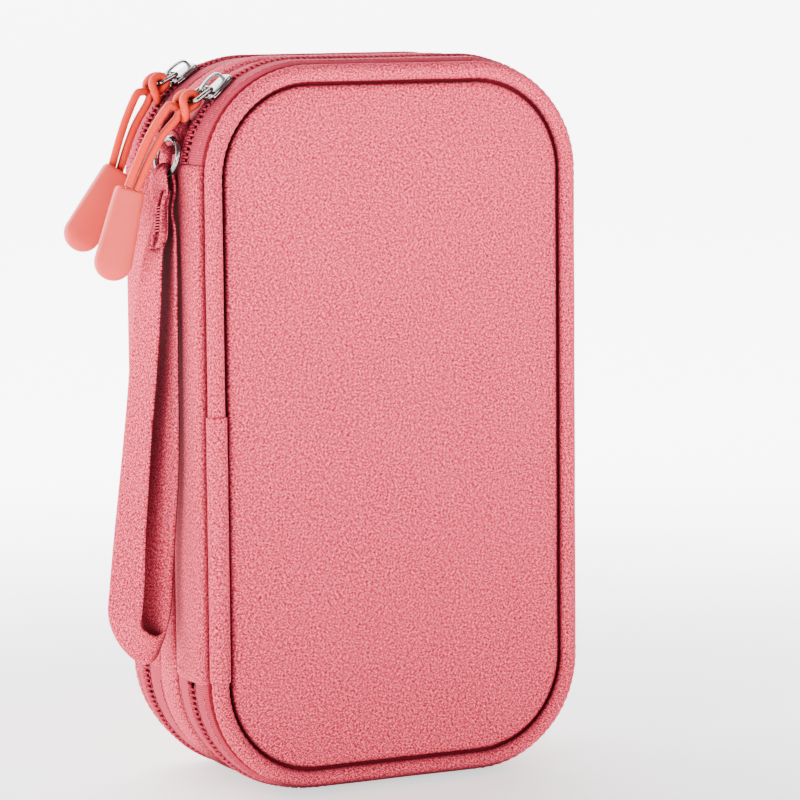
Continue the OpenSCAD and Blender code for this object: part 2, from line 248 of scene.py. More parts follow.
# ---------------------------------------------------------------- material tools
class Nodes:
    """Short way to build a material's nodes."""

    def __init__(self, name):
        self.mat = bpy.data.materials.new(name)
        self.mat.use_nodes = True
        self.tree = self.mat.node_tree
        self.shader = self.tree.nodes["Principled BSDF"]

    def add(self, kind, inputs=None, **settings):
        node = self.tree.nodes.new("ShaderNode" + kind)
        for key, value in settings.items():
            setattr(node, key, value)
        for key, value in (inputs or {}).items():
            self.put(node, key, value)
        return node

    def put(self, node, key, value):
        if isinstance(value, bpy.types.NodeSocket):
            self.tree.links.new(value, node.inputs[key])
        else:
            node.inputs[key].default_value = value

    def set(self, **values):
        for key, value in values.items():
            self.put(self.shader, key.replace("_", " "), value)

    def coords(self, angle=0.0, scale=(1, 1, 1), space="UV"):
        """UV or object place in millimetres, turned and scaled."""
        place = self.add("TexCoord").outputs[space]
        size = [s / MM for s in scale]
        turned = self.add("Mapping", {"Vector": place, "Rotation": (0, 0, angle)})
        return self.add("Mapping", {"Vector": turned.outputs[0], "Scale": size}).outputs[0]

    def noise(self, vector, detail=2.0, rough=0.5):
        inputs = {"Vector": vector, "Scale": 1.0, "Detail": detail, "Roughness": rough}
        return self.add("TexNoise", inputs).outputs["Fac"]

    def wave(self, vector, scale, distortion=0.0, direction="X"):
        inputs = {"Vector": vector, "Scale": scale, "Distortion": distortion}
        return self.add("TexWave", inputs, bands_direction=direction).outputs["Fac"]

    def math(self, kind, a, b):
        return self.add("Math", {0: a, 1: b}, operation=kind).outputs[0]

    def add_shares(self, a, share_a, b, share_b):
        return self.math("ADD", self.math("MULTIPLY", a, share_a), self.math("MULTIPLY", b, share_b))

    def ramp(self, value, stops):
        node = self.add("ValToRGB", {"Fac": value})
        points = node.color_ramp.elements
        while len(points) < len(stops):
            points.new(0.5)
        for point, (place, colour) in zip(points, stops):
            point.position = place
            point.color = (*colour, 1)
        return node.outputs["Color"]

    def mix(self, fac, a, b):
        node = self.add("Mix", data_type="RGBA")
        for key, value in ((0, fac), (6, a), (7, b)):
            self.put(node, key, (*value, 1) if isinstance(value, tuple) else value)
        return node.outputs[2]

    def span(self, value, low, high):
        return self.add("MapRange", {"Value": value, "To Min": low, "To Max": high}).outputs[0]

    def painted_crevice_shade(self, colour, deep, reach, low, high):
        """Painted shade: ambient occlusion turns the colour towards deep where other surfaces lie within reach mm, as
        in seams and folds, standing in for the shade that falls there.
        """
        node = self.add("AmbientOcclusion", {"Distance": reach * MM}, samples=6)
        inputs = {"Value": node.outputs["AO"], "From Min": low, "From Max": high}
        return self.mix(self.add("MapRange", inputs).outputs[0], deep, colour)

    def bump(self, height, distance):
        inputs = {"Height": height, "Distance": distance * MM, "Strength": 1.0}
        self.put(self.shader, "Normal", self.add("Bump", inputs).outputs[0])


def shaded(colour, share):
    return tuple(v * share for v in colour)


def heather(name, dark, mid, light, depth=1.0, deep=0.3, shade=(7.0, 0.30, 0.86)):
    """Melange cloth: short slanted flecks of lighter and darker yarn over a fine twill, with painted shade in its
    seams and folds.

    deep is the share of the dark yarn colour that is painted into seams and folds as shade; shade holds the reach and
    limits of painted_crevice_shade().
    """
    n = Nodes(name)
    one = n.noise(n.coords(0.78, (1.4, 4.0, 1)), 1.5)
    two = n.noise(n.coords(-0.66, (1.4, 3.7, 1)), 1.5)
    flecks = n.math("MULTIPLY", n.math("ADD", one, two), 0.5)
    colour = n.ramp(flecks, [(0.425, dark), (0.492, mid), (0.518, mid), (0.58, light)])
    cloudy = n.noise(n.coords(0, (0.07, 0.07, 0.07)))
    worn = n.mix(n.math("MULTIPLY", cloudy, 0.10), colour, light)
    twill = n.wave(n.coords(0.7), 0.55, 1.0)
    # painted shade: the dark yarn colour is laid where other surfaces come close, as the shade in seams and folds
    seams = n.painted_crevice_shade(worn, shaded(dark, deep), *shade)
    n.set(Base_Color=seams, Roughness=0.92, Sheen_Weight=0.03, Sheen_Roughness=0.5)
    n.set(Sheen_Tint=(1.0, 0.45, 0.5, 1), Specular_IOR_Level=0.06)
    n.bump(n.add_shares(flecks, 0.8, twill, 0.3), 0.12 * depth)
    return n.mat


def ribbed(name, dark, light, pitch, across=0.0, rough=0.7, depth=0.12, sheen=0.15):
    """Woven tape or elastic with fine ribs, pitch mm apart, with painted shade where other surfaces come close."""
    n = Nodes(name)
    ribs = n.wave(n.coords(across), 0.314 / pitch, 0.4)
    yarn = n.noise(n.coords(across, (3.0, 0.9, 1)))
    tone = n.add_shares(ribs, 0.6, yarn, 0.4)
    colour = n.ramp(tone, [(0.2, dark), (0.75, light)])
    # painted shade: a darker copy of the dark rib colour in seams and folds
    n.set(Base_Color=n.painted_crevice_shade(colour, shaded(dark, 0.3), 4.0, 0.2, 0.8), Roughness=rough)
    n.set(Sheen_Weight=sheen, Specular_IOR_Level=0.06)
    n.bump(tone, depth)
    return n.mat


def plain_cloth(name, dark, light, depth=0.06):
    """Smooth woven lining."""
    n = Nodes(name)
    warp = n.wave(n.coords(), 0.8, 0.6)
    weft = n.wave(n.coords(), 0.8, 0.6, "Y")
    weave = n.math("MULTIPLY", warp, weft)
    soft = n.noise(n.coords(0, (0.12, 0.12, 0.12)), 3.0)
    tone = n.add_shares(weave, 0.4, soft, 0.6)
    n.set(Base_Color=n.ramp(tone, [(0.2, dark), (0.8, light)]), Roughness=0.62)
    n.set(Sheen_Weight=0.2, Specular_IOR_Level=0.35)
    n.bump(tone, depth)
    return n.mat


def mesh_net(name, hole, yarn, pitch=1.5):
    """Fine warp-knit mesh: dark holes between round yarns."""
    n = Nodes(name)
    inputs = {"Vector": n.coords(), "Scale": 1 / pitch, "Randomness": 0.15}
    tone = n.ramp(n.add("TexVoronoi", inputs).outputs["Distance"], [(0.25, (0, 0, 0)), (0.42, (1, 1, 1))])
    n.set(Base_Color=n.mix(tone, hole, yarn), Roughness=0.7, Sheen_Weight=0.1)
    n.bump(tone, 0.25)
    return n.mat


def moulded(name, dark, light, rough, grain, depth, gloss=0.25):
    """Rubber, nylon or foam: a fine grain, a faint mottling, uneven gloss and painted shade where other surfaces come
    close.
    """
    n = Nodes(name)
    fine = n.noise(n.coords(0, (grain * 4, grain * 4, grain * 4), "Object"), 3.0, 0.6)
    broad = n.noise(n.coords(0, (0.1, 0.1, 0.1), "Object"))
    tone = n.add_shares(fine, 0.3, broad, 0.7)
    colour = n.ramp(tone, [(0.3, dark), (0.7, light)])
    # painted shade: a darker copy of the dark colour where other surfaces come close
    n.set(Base_Color=n.painted_crevice_shade(colour, shaded(dark, 0.35), 3.0, 0.15, 0.7), Specular_IOR_Level=gloss)
    n.set(Roughness=n.span(fine, rough - 0.06, rough + 0.1))
    n.bump(fine, depth)
    return n.mat


def plated(name):
    """Polished nickel with faint scuffs."""
    n = Nodes(name)
    scuff = n.noise(n.coords(0.4, (0.5, 4.0, 1.0), "Object"), 4.0, 0.6)
    nickel = n.ramp(scuff, [(0.3, (0.15, 0.15, 0.145)), (0.7, (0.34, 0.34, 0.35))])
    n.set(Base_Color=nickel, Metallic=1.0)
    n.set(Roughness=n.span(scuff, 0.12, 0.28))
    n.bump(scuff, 0.01)
    return n.mat


def braided(name, dark, light):
    """Smooth shiny braid on a thin cord, with painted shade where other surfaces come close."""
    n = Nodes(name)
    left = n.wave(n.coords(0.6, space="Object"), 0.9, 0.3, "DIAGONAL")
    yarn = n.noise(n.coords(0, (2, 2, 2), "Object"))
    tone = n.add_shares(left, 0.5, yarn, 0.5)
    colour = n.ramp(tone, [(0.25, dark), (0.75, light)])
    # painted shade: a darker copy of the dark colour between strands and in the knot
    n.set(Base_Color=n.painted_crevice_shade(colour, shaded(dark, 0.3), 4.0, 0.3, 0.9), Roughness=0.55)
    n.set(Specular_IOR_Level=0.2)
    n.bump(tone, 0.06)
    return n.mat


YARNS = ((0.14, 0.005, 0.013), (0.60, 0.034, 0.072), (1.0, 0.15, 0.22))
CLOTH = heather("heathered_cloth", *YARNS)
# Strap cloth: the same yarns with painted shade that reaches further and goes darker, which darkens the gap between
# the strap's leaves.
STRAP_CLOTH_DEEP_SHADE = heather("strap_cloth_deep_shade", *YARNS, 0.8, 0.4, (16.0, 0.46, 0.80))
# Spine and gusset cloth: the same yarns with painted shade that reaches further, which darkens the cloth beside the
# strap and in the spine's folds.
SIDE_CLOTH_DEEP_SHADE = heather("side_cloth_deep_shade", *YARNS, 1.0, 0.8, (12.0, 0.35, 0.92))
TAPE = ribbed("zip_tape_weave", (0.34, 0.021, 0.047), (0.54, 0.043, 0.086), 0.62, 0.0, 0.8, 0.07, 0.02)
COIL = moulded("zip_coil_nylon", (0.30, 0.016, 0.038), (0.58, 0.040, 0.08), 0.8, 1.0, 0.01, 0.04)
THREAD = ribbed("sewing_thread", (0.45, 0.028, 0.055), (0.80, 0.10, 0.15), 0.3)
# Seam cloth in the piping's grooves: dark colours painted as the shade that falls there.
GROOVE_SHADE_CLOTH = heather("groove_shade_cloth", (0.16, 0.006, 0.014), (0.24, 0.011, 0.024), (0.34, 0.019, 0.037), 1.0, 0.8)
LINING = plain_cloth("grey_lining", (0.16, 0.16, 0.175), (0.27, 0.27, 0.285))
NET = mesh_net("pocket_net", (0.10, 0.10, 0.11), (0.36, 0.36, 0.375))
ELASTIC = ribbed("grey_elastic", (0.12, 0.12, 0.13), (0.24, 0.24, 0.255), 0.9, 0.0, 0.8, 0.15)
GATHER = ribbed("gathered_stretch", (0.20, 0.20, 0.21), (0.36, 0.36, 0.38), 1.2, 1.5708, 0.75, 0.12)
GREY_THREAD = ribbed("grey_thread", (0.10, 0.10, 0.11), (0.22, 0.22, 0.23), 0.3)
NICKEL = plated("nickel_plate")
CORD = braided("coral_braid", (0.60, 0.022, 0.008), (0.92, 0.055, 0.026))
RUBBER = moulded("salmon_rubber", (0.66, 0.052, 0.042), (0.74, 0.066, 0.054), 0.5, 0.7, 0.02)
FOAM = moulded("foam_board", (0.62, 0.62, 0.60), (0.80, 0.80, 0.78), 0.85, 0.6, 0.15)


# ---------------------------------------------------------------- mesh tools
def add_mesh(name, verts, faces, uvs=None):
    """Mesh object from points in mm; uvs is one (u, v) in mm for each corner of each face."""
    mesh = bpy.data.meshes.new(name)
    mesh.from_pydata([Vector(v) * MM for v in verts], [], [list(f) for f in faces])
    if uvs is not None:
        layer = mesh.uv_layers.new(name="UVMap")
        flat = np.array([uv for face in uvs for uv in face], np.float32) * MM
        layer.data.foreach_set("uv", flat.ravel())
    obj = bpy.data.objects.new(name, mesh)
    bpy.context.scene.collection.objects.link(obj)
    tidy = bmesh.new()
    tidy.from_mesh(mesh)
    bmesh.ops.remove_doubles(tidy, verts=tidy.verts, dist=1e-6)
    bmesh.ops.recalc_face_normals(tidy, faces=tidy.faces)
    for f in tidy.faces:
        f.smooth = True
    tidy.to_mesh(mesh)
    tidy.free()
    return obj


def dress(obj, material, slot, body=None, *replaced):
    """Gives an object its material and slot, the body it rides and the CAD nodes it replaces."""
    obj.data.materials.clear()
    obj.data.materials.append(material)
    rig.slot(obj, slot)
    if body:
        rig.ride(obj, body)
    if replaced:
        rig.replaces(obj, *replaced)
    return obj


def grid_faces(rows, columns, wrap_rows=False, wrap_columns=False):
    """Quads over a rows x columns lattice of points, with the lattice place of each corner."""
    faces, corners = [], []
    for i in range(rows if wrap_rows else rows - 1):
        for j in range(columns if wrap_columns else columns - 1):
            places = [(i, j), (i, j + 1), (i + 1, j + 1), (i + 1, j)]
            faces.append([(a % rows) * columns + b % columns for a, b in places])
            corners.append(places)
    return faces, corners


def lattice(name, points, us, vs, wrap_rows=False, wrap_columns=True):
    """Mesh over points[row][column]; us and vs hold one value more where that way wraps. Tubes get caps."""
    points = np.asarray(points, float)
    rows, columns = points.shape[:2]
    faces, corners = grid_faces(rows, columns, wrap_rows, wrap_columns)
    uvs = [[(us[i], vs[j]) for i, j in c] for c in corners]
    if wrap_columns and not wrap_rows:
        for row in (0, rows - 1):
            faces.append([row * columns + j for j in range(columns)])
            uvs.append([tuple(p) for p in points[row][:, [0, 1]]])
    return add_mesh(name, points.reshape(-1, 3), faces, uvs)


def cloth_grid(name, rows, closed=False, flat=lambda x, y, z: (x, z)):
    """Mesh over rows of points, its UVs laid out flat from the side; closed joins each row's ends."""
    verts = [p for row in rows for p in row]
    faces, _ = grid_faces(len(rows), len(rows[0]), wrap_columns=closed)
    return add_mesh(name, verts, faces, [[flat(*verts[v]) for v in f] for f in faces])


def along(s):
    """(x, z, nx, nz): point and outward normal s mm round the side, from the spine's middle upwards."""
    half, arc = BODY_H / 2 - CORNER_R, math.pi / 2 * CORNER_R
    wide, tall = BODY_W - 2 * CORNER_R, BODY_H - 2 * CORNER_R
    x0, x1, z0, z1 = -BODY_W / 2 + CORNER_R, BODY_W / 2 - CORNER_R, CORNER_R, BODY_H - CORNER_R
    s = s % (2 * wide + 2 * tall + 4 * arc)
    stretches = [
        (half, None, (-BODY_W / 2, BODY_H / 2), (0, 1)), (arc, (x0, z1), 180, None),
        (wide, None, (x0, BODY_H), (1, 0)), (arc, (x1, z1), 90, None),
        (tall, None, (BODY_W / 2, z1), (0, -1)), (arc, (x1, z0), 0, None),
        (wide, None, (x1, 0), (-1, 0)), (arc, (x0, z0), -90, None),
        (half, None, (-BODY_W / 2, z0), (0, 1)),
    ]
    for length, centre, start, way in stretches:
        if s <= length + 1e-9:
            break
        s -= length
    if centre is None:
        return start[0] + way[0] * s, start[1] + way[1] * s, -way[1], way[0]
    a = math.radians(start) - s / CORNER_R
    return (centre[0] + CORNER_R * math.cos(a), centre[1] + CORNER_R * math.sin(a), math.cos(a), math.sin(a))


GIRTH = 2 * (BODY_W + BODY_H - 4 * CORNER_R) + 2 * math.pi * CORNER_R
ZIP_START = BODY_H / 2 - CORNER_R + (SPINE_TOP - ARC_Z)
ZIP_END = GIRTH - (BODY_H / 2 - CORNER_R) - (CORNER_R - SPINE_LOW)


def stations(start, end, step=2.0):
    """Evenly spaced distances round the side, about step mm apart."""
    count = max(2, int(round((end - start) / step)) + 1)
    return np.linspace(start, end, count)


def place(s, inset, y):
    """The point s mm round the side, inset mm inside its outline."""
    x, z, nx, nz = along(s)
    return (x - inset * nx, y, z - inset * nz)


def sweep(name, ss, section, closed, change=None):
    """Runs a closed section of (inset, y) points round the side; change(s, inset, y) gives a new inset."""
    rows = [[place(s, change(s, a, b) if change else a, b) for a, b in section] for s in ss]
    steps = [math.dist(p, q) for p, q in zip(section, section[1:] + section[:1])]
    vs = np.concatenate([[0], np.cumsum(steps)])
    us = list(ss) + [ss[0] + GIRTH]
    return lattice(name, rows, us, vs, closed)


def strip_section(top, thick):
    """Closed section from its outer line, going back thick mm below it."""
    under = [(a + thick, b) for a, b in reversed(top)]
    first, last = top[0], top[-1]
    middle = thick / 2
    return [(first[0] + middle, first[1] - 0.02)] + top + [(last[0] + middle, last[1] + 0.02)] + under


def curve_point(a, b, c, d, f):
    """Point at share f of the way from b to c on the Catmull-Rom curve through a, b, c and d."""
    bend = (2 * a - 5 * b + 4 * c - d) * f**2
    return 0.5 * (2 * b + (c - a) * f + bend + (3 * b - a - 3 * c + d) * f**3)


def smooth_line(points, count):
    """Catmull-Rom curve through points."""
    p = [np.array(v, float) for v in points]
    p = [2 * p[0] - p[1]] + p + [2 * p[-1] - p[-2]]
    spans, out = len(p) - 3, []
    for t in np.linspace(0, spans, count):
        i = min(int(t), spans - 1)
        out.append(curve_point(*p[i:i + 4], t - i))
    return out


def wavy(s, seed, wave):
    """Gentle seeded wander between -1 and 1 along s."""
    rng = np.random.default_rng(seed)
    parts = [(rng.uniform(0.6, 1.5), rng.uniform(0, 6.3), rng.uniform(0.5, 1)) for _ in range(4)]
    total = sum(a * math.sin(2 * math.pi * k * s / wave + p) for k, p, a in parts)
    return total / sum(a for _, _, a in parts)


def beads(name, shapes, material, slot, body, sides, rings):
    """Many capsules in one mesh. shapes: (end point, end point, radius across, radius up, up direction)."""
    verts, faces, uvs = [], [], []
    profile = [(-1.0, 0.0)]
    for k in range(1, rings):
        a = math.pi / 2 * k / rings
        profile.append((-math.cos(a), math.sin(a)))
    profile += [(-f, r) for f, r in reversed(profile)]
    for a, b, across, up, normal in shapes:
        a, b, n = np.array(a, float), np.array(b, float), np.array(normal, float)
        d = (b - a) / max(np.linalg.norm(b - a), 1e-9)
        n = n - (n @ d) * d
        n /= np.linalg.norm(n)
        w = np.cross(d, n)
        base = len(verts)
        for k, (f, r) in enumerate(profile):
            centre = (a if k < rings else b) + d * f * across
            for j in range(sides):
                t = 2 * math.pi * j / sides
                verts.append(centre + r * (math.cos(t) * across * w + math.sin(t) * up * n))
        ring, corners = grid_faces(len(profile), sides, wrap_columns=True)
        faces += [[base + v for v in f] for f in ring]
        uvs += [[(i * 0.3, j * 0.3) for i, j in c] for c in corners]
    return dress(add_mesh(name, verts, faces, uvs), material, slot, body)


def stitches(name, line, body, pitch, radius, lift, slot="cloth"):
    """A row of stitches along line(t) -> (point, normal), t in mm from 0 to its length."""
    length, at = line
    shapes = []
    sewn = pitch * 0.68
    t = pitch * 0.3
    while t + sewn < length:
        (a, n), (b, _) = at(t), at(t + sewn)
        n = np.array(n, float)
        shapes.append((np.array(a) + n * lift, np.array(b) + n * lift, radius, radius, n))
        t += pitch
    return beads(name, shapes, THREAD, slot, body, 6, 3)


def side_line(start, end, inset, y):
    """A line round the side at one inset and y, for stitches."""
    def at(t):
        _, _, nx, nz = along(start + t)
        return place(start + t, inset, y), (nx, 0, nz)
    return end - start, at


# ---------------------------------------------------------------- pull cords and grips
CORD_D = 2.2
CORD_Y, GRIP_Y = 14.0, 12.6
# The wire puller: its pivot on the slider, how far it reaches, how far it lifts and half its width.
PIVOT, ARM, LIFT = (-1.9, 3.45), 5.4, math.radians(8)
PULLER_HALF = 3.4
# The middle of each doubled cord, from the bar down to its grip: X and Z in mm from the bar.
ROUTES = {
    "front": [(0, 0), (-4.6, -3), (-9, -8.4), (-12.8, -15.2), (-16, -22.1)],
    "rear": [(0, 0), (-4.6, -4.2), (-7.8, -10), (-10.2, -16), (-12.3, -22.3)],
}
# Half the gap between the two strands at each point of the route, and the grips' lean in degrees.
SPREAD = [2.0, 1.9, 1.5, 1.3, 1.2]
HANG = {"front": 15.0, "rear": 32.0}
GRIP_L, GRIP_TOP, GRIP_LOW, GRIP_T = 24.0, 7.4, 10.0, 4.6


def bar_at(side):
    """X and Z of the puller's bar, where the cord is tied; it has to lie in the CAD puller's box."""
    park = math.radians(PARK[side])
    lift = math.radians(PARK[side] - 90) + LIFT
    r = SLIDER_R + PIVOT[1]
    x = ARC_X - r * math.cos(park) + PIVOT[0] * math.sin(park) - ARM * math.cos(lift)
    z = ARC_Z + r * math.sin(park) + PIVOT[0] * math.cos(park) + ARM * math.sin(lift)
    low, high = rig.box(side + "_puller")
    assert low.x / MM - 1 < x < high.x / MM + 1 and low.z / MM - 1 < z < high.z / MM + 1
    return np.array((x, z))


def route_frame(side):
    """Middle line of a pull cord in X and Z with its unit heading and normal at each point."""
    p = [np.array(v, float) + bar_at(side) for v in ROUTES[side]]
    out = []
    for i, point in enumerate(p):
        h = p[min(i + 1, len(p) - 1)] - p[max(i - 1, 0)]
        h /= np.linalg.norm(h)
        out.append((point, h, np.array((h[1], -h[0]))))
    return out


# The lark's head at the puller's bar: (across, outwards, along the pull) for each bend, in mm.
KNOT = [
    (-0.9, -0.3, 3.6), (-1.5, -1.1, 1.4), (-1.35, -1.2, -1.35), (0, -1.2, -1.95), (1.4, -1.2, -1.35),
    (1.95, -1.5, 0.4), (1.3, -2.2, 2.0), (-0.8, -2.6, 3.0), (-2.4, -1.7, 3.4), (-3.1, 0, 3.5),
    (-2.4, 1.7, 3.4), (-0.8, 2.6, 3.0), (1.3, 2.2, 2.0), (1.95, 1.5, 0.4), (1.4, 1.2, -1.35),
    (0, 1.2, -1.95), (-1.35, 1.2, -1.35), (-1.5, 1.1, 1.0), (-0.3, 0.5, 2.7), (1.3, 0.2, 4.6),
]


def cord_points(side):
    """From one grip end, round the puller's bar with the knot's bight, and back to the grip."""
    route = route_frame(side)

    def at(i, across, y=0, ahead=0.0):
        point, h, n = route[i]
        x, z = point + n * across + h * ahead
        return (x, SIDE[side] * CORD_Y + y, z)

    up = [at(i, -SPREAD[i]) for i in (4, 3, 2, 1)]
    down = [at(i, SPREAD[i]) for i in (1, 2, 3, 4)]
    return up + [at(0, *bend) for bend in KNOT] + down


def make_pull(side):
    """The doubled cord with its knot and grip, declared as one cord."""
    body = side + "_pull"
    points = smooth_line(cord_points(side), 150)
    data = bpy.data.curves.new(side + "_cord", "CURVE")
    data.dimensions = "3D"
    line = data.splines.new("POLY")
    line.points.add(len(points) - 1)
    for target, p in zip(line.points, points):
        target.co = (*(Vector(p) * MM), 1)
    data.bevel_depth = CORD_D / 2 * MM
    data.bevel_resolution = 4
    data.use_fill_caps = True
    cord = bpy.data.objects.new(side + "_cord", data)
    bpy.context.scene.collection.objects.link(cord)
    dress(cord, CORD, "cord", body, side + "_pull_cord")
    grip = make_grip(side)
    length = sum(math.dist(a, b) for a, b in zip(points, points[1:]))
    bar = bar_at(side)
    exit = (bar[0] * MM, SIDE[side] * CORD_Y * MM, bar[1] * MM)
    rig.cord(cord, exit=exit, length=length * MM, diameter=CORD_D * MM, far_end="fitting",
            stiffness="medium", lay="hanging", with_pieces=[grip])


def make_grip(side):
    """Moulded rubber grip: rounded slab that widens to a round end, with a soft collar at the cord."""
    point, _, _ = route_frame(side)[-1]
    hang = math.radians(HANG[side])
    rows, us = [], []
    count, turns = 40, 36
    round_end, collar = 5, 0.9
    straight = GRIP_L - round_end
    for k in range(count + 1):
        u = k / count
        t = GRIP_L * (1 - math.cos(math.pi * u)) / 2
        half = (GRIP_TOP + (GRIP_LOW - GRIP_TOP) * min(1, t / straight)**0.9) / 2
        thick = GRIP_T / 2
        if t > straight:
            e = (t - straight) / round_end
            half *= math.sqrt(max(0, 1 - e**2.1)) + 0.001
            thick *= math.sqrt(max(0, 1 - e**3.2)) + 0.001
        if t < collar:
            e = 1 - t / collar
            half *= 1 - 0.1 * e**2
            thick *= 1 - 0.22 * e**2
        row = []
        for j in range(turns):
            a = 2 * math.pi * j / turns
            c, s = math.cos(a), math.sin(a)
            px = half * math.copysign(abs(c)**0.55, c)
            py = thick * math.copysign(abs(s)**0.62, s)
            x = px * math.cos(hang) - t * math.sin(hang)
            z = -px * math.sin(hang) - t * math.cos(hang)
            row.append((point[0] + x, SIDE[side] * GRIP_Y + py, point[1] + z))
        rows.append(row)
        us.append(t)
    obj = lattice(side + "_rubber_grip", rows, us, range(turns + 1))
    return dress(obj, RUBBER, "rubber", side + "_pull", side + "_grip")


for side in SIDE:
    make_pull(side)


# ---------------------------------------------------------------- covers
def edge_distance(x, z):
    """How far (x, z) lies inside the side's outline."""
    qx = abs(x) - (BODY_W / 2 - CORNER_R)
    qz = abs(z - BODY_H / 2) - (BODY_H / 2 - CORNER_R)
    outside = math.hypot(max(qx, 0), max(qz, 0)) + min(max(qx, qz), 0)
    return CORNER_R - outside


def cover_rings(depths):
    """Closed rings of (s, x, z) at each depth inside the outline, ending on the cover's middle line."""
    ss = stations(0, GIRTH, 2.2)[:-1]
    deep = 24.0
    half_line = BODY_H / 2 - BODY_W / 2
    rings = []
    for d in depths:
        ring = []
        for s in ss:
            x, z, nx, nz = along(s)
            if d <= deep:
                ring.append((s, x - d * nx, z - d * nz))
                continue
            ex, ez = x - deep * nx, z - deep * nz
            mz = min(max(ez, BODY_H / 2 - half_line), BODY_H / 2 + half_line)
            t = (d - deep) / (BODY_W / 2 - deep)
            ring.append((s, ex * (1 - t), ez + (mz - ez) * t))
        rings.append(ring)
    return rings


def cover_sheet(name, profile, sign, height, flat=lambda x, y, z: (x, z)):
    """Cloth over the whole outline. profile holds (depth inside the outline, y) pairs from the rim to the
    middle, and height(d, y, s, x, z) gives each point's final y.
    """
    rows = []
    for (d, y), ring in zip(profile, cover_rings([d for d, _ in profile])):
        rows.append([(x, sign * height(d, y, s, x, z), z) for s, x, z in ring])
    return cloth_grid(name, rows, True, flat)


# Section of the cover panel: (depth inside the outline, y) of its rolled edge, then the depths of its face.
PANEL_EDGE = [(6.95, 25.3), (6.95, 25.8), (7.05, 26.4), (7.4, 26.95), (8.0, 27.3), (9.0, 27.55)]
PANEL_DEPTHS = [10, 12, 14.5, 17.5, 21, 24, 28, 32, 36, 40, 44, 48, 52, BODY_W / 2]
CROWN = 1.15


def make_cover_cloth(side):
    """Padded cover: edges roll into the piping's groove and the middle crowns over the foam."""
    seed = 3 if side == "front" else 5
    rim, level = PANEL_EDGE[-1]

    def height(d, y, s, x, z):
        inside = d > rim
        if inside:
            y += CROWN * (1 - (1 - min(1, (edge_distance(x, z) - 8.6) / 46))**2.2)
        pull = math.exp(-((d - 9) / 5.5)**2)
        y += 0.16 * pull * wavy(s, seed, 34) + 0.09 * pull * wavy(s, seed + 1, 11)
        return y + 0.10 * wavy(x * 1.1 + z * 0.6, seed + 2, 70) * inside

    profile = PANEL_EDGE + [(d, level) for d in PANEL_DEPTHS]
    obj = cover_sheet(side + "_cover_cloth", profile, SIDE[side], height)
    dress(obj, CLOTH, "cloth", side + "_cover", side + "_panel")
    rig.padded(obj, fill=0.85)


# The upper and lower end of the sleeve on the piping.
SLEEVE_TOP, SLEEVE_LOW = 101.0, 32.0


def edge_turn(s):
    """Distance from station s to the nearest corner arc, 0 within it."""
    x, z, _, _ = along(s)
    return max(0.0, BODY_W / 2 - CORNER_R - abs(x), BODY_H / 2 - CORNER_R - abs(z - BODY_H / 2))


def make_piping(side):
    """Covered cord round the cover, its ends hidden in a sleeve of the same cloth at the spine side."""
    sign = SIDE[side]
    low = GIRTH - (BODY_H / 2 - SLEEVE_LOW)
    high = GIRTH + SLEEVE_TOP - BODY_H / 2
    turns = 24

    def ring(s, radius):
        row = []
        bend = max(0.0, 1 - edge_turn(s) / 4.0)
        radius += 0.10 * bend * math.sin(2 * math.pi * s / 2.6 + 1.5 * wavy(s, 13, 60))
        for j in range(turns):
            a = 2 * math.pi * j / turns
            row.append(place(s, PIPE_IN - radius * math.cos(a), sign * (PIPE_Y + radius * math.sin(a))))
        return row

    vs = [2 * math.pi * PIPE_R * j / turns for j in range(turns + 1)]
    ss = stations(high - GIRTH - 3, low + 3, 0.9)
    rows = [ring(s, PIPE_R - 0.12 + 0.05 * wavy(s, 11, 26)) for s in ss]
    tube = lattice(side + "_piping_tube", rows, ss, vs)
    dress(tube, CLOTH, "cloth", side + "_cover", side + "_piping")
    ss = [low - 0.01, low, low + 0.5, *stations(low + 2, high - 2, 1.8), high - 0.4, high - 0.1, high]
    swell = [-0.5, 0.12, 0.3] + [0.36] * (len(ss) - 6) + [0.36, 0.24, -0.6]
    rows = [ring(s, PIPE_R + w + 0.04 * wavy(s, 12, 18)) for s, w in zip(ss, swell)]
    sleeve = lattice(side + "_piping_sleeve", rows, ss, vs)
    dress(sleeve, CLOTH, "cloth", side + "_cover")


def make_groove(side):
    """Folded seam cloth between the panel and the piping, and between the piping and the side, coloured dark as
    painted shade in those grooves.
    """
    sign = SIDE[side]
    section = [(1.7, 24.1), (3.2, 24.4), (5.0, 24.9), (5.9, 25.45), (7.6, 25.5), (7.6, 24.9), (1.7, 23.8)]
    section = [(a, sign * b) for a, b in section]
    seam = sweep(side + "_piping_flange", stations(0, GIRTH, 3)[:-1], section, True)
    dress(seam, GROOVE_SHADE_CLOTH, "cloth", side + "_cover")


for side in SIDE:
    make_cover_cloth(side)
    make_piping(side)
    make_groove(side)


# ---------------------------------------------------------------- zips
COIL_PITCH = 1.5
# Sections of the tapes, as (inset, y) pairs.
OUTER_TAPE = [(0.95, 17.0), (0.62, 17.7), (0.55, 19), (0.7, 21.2), (1.05, 22.9), (2.0, 24.1)]
INNER_TAPE = [(1.3, 5.15), (0.95, 6.2), (0.75, 8), (0.62, 10.5), (0.6, 12.8), (0.95, 14.0)]


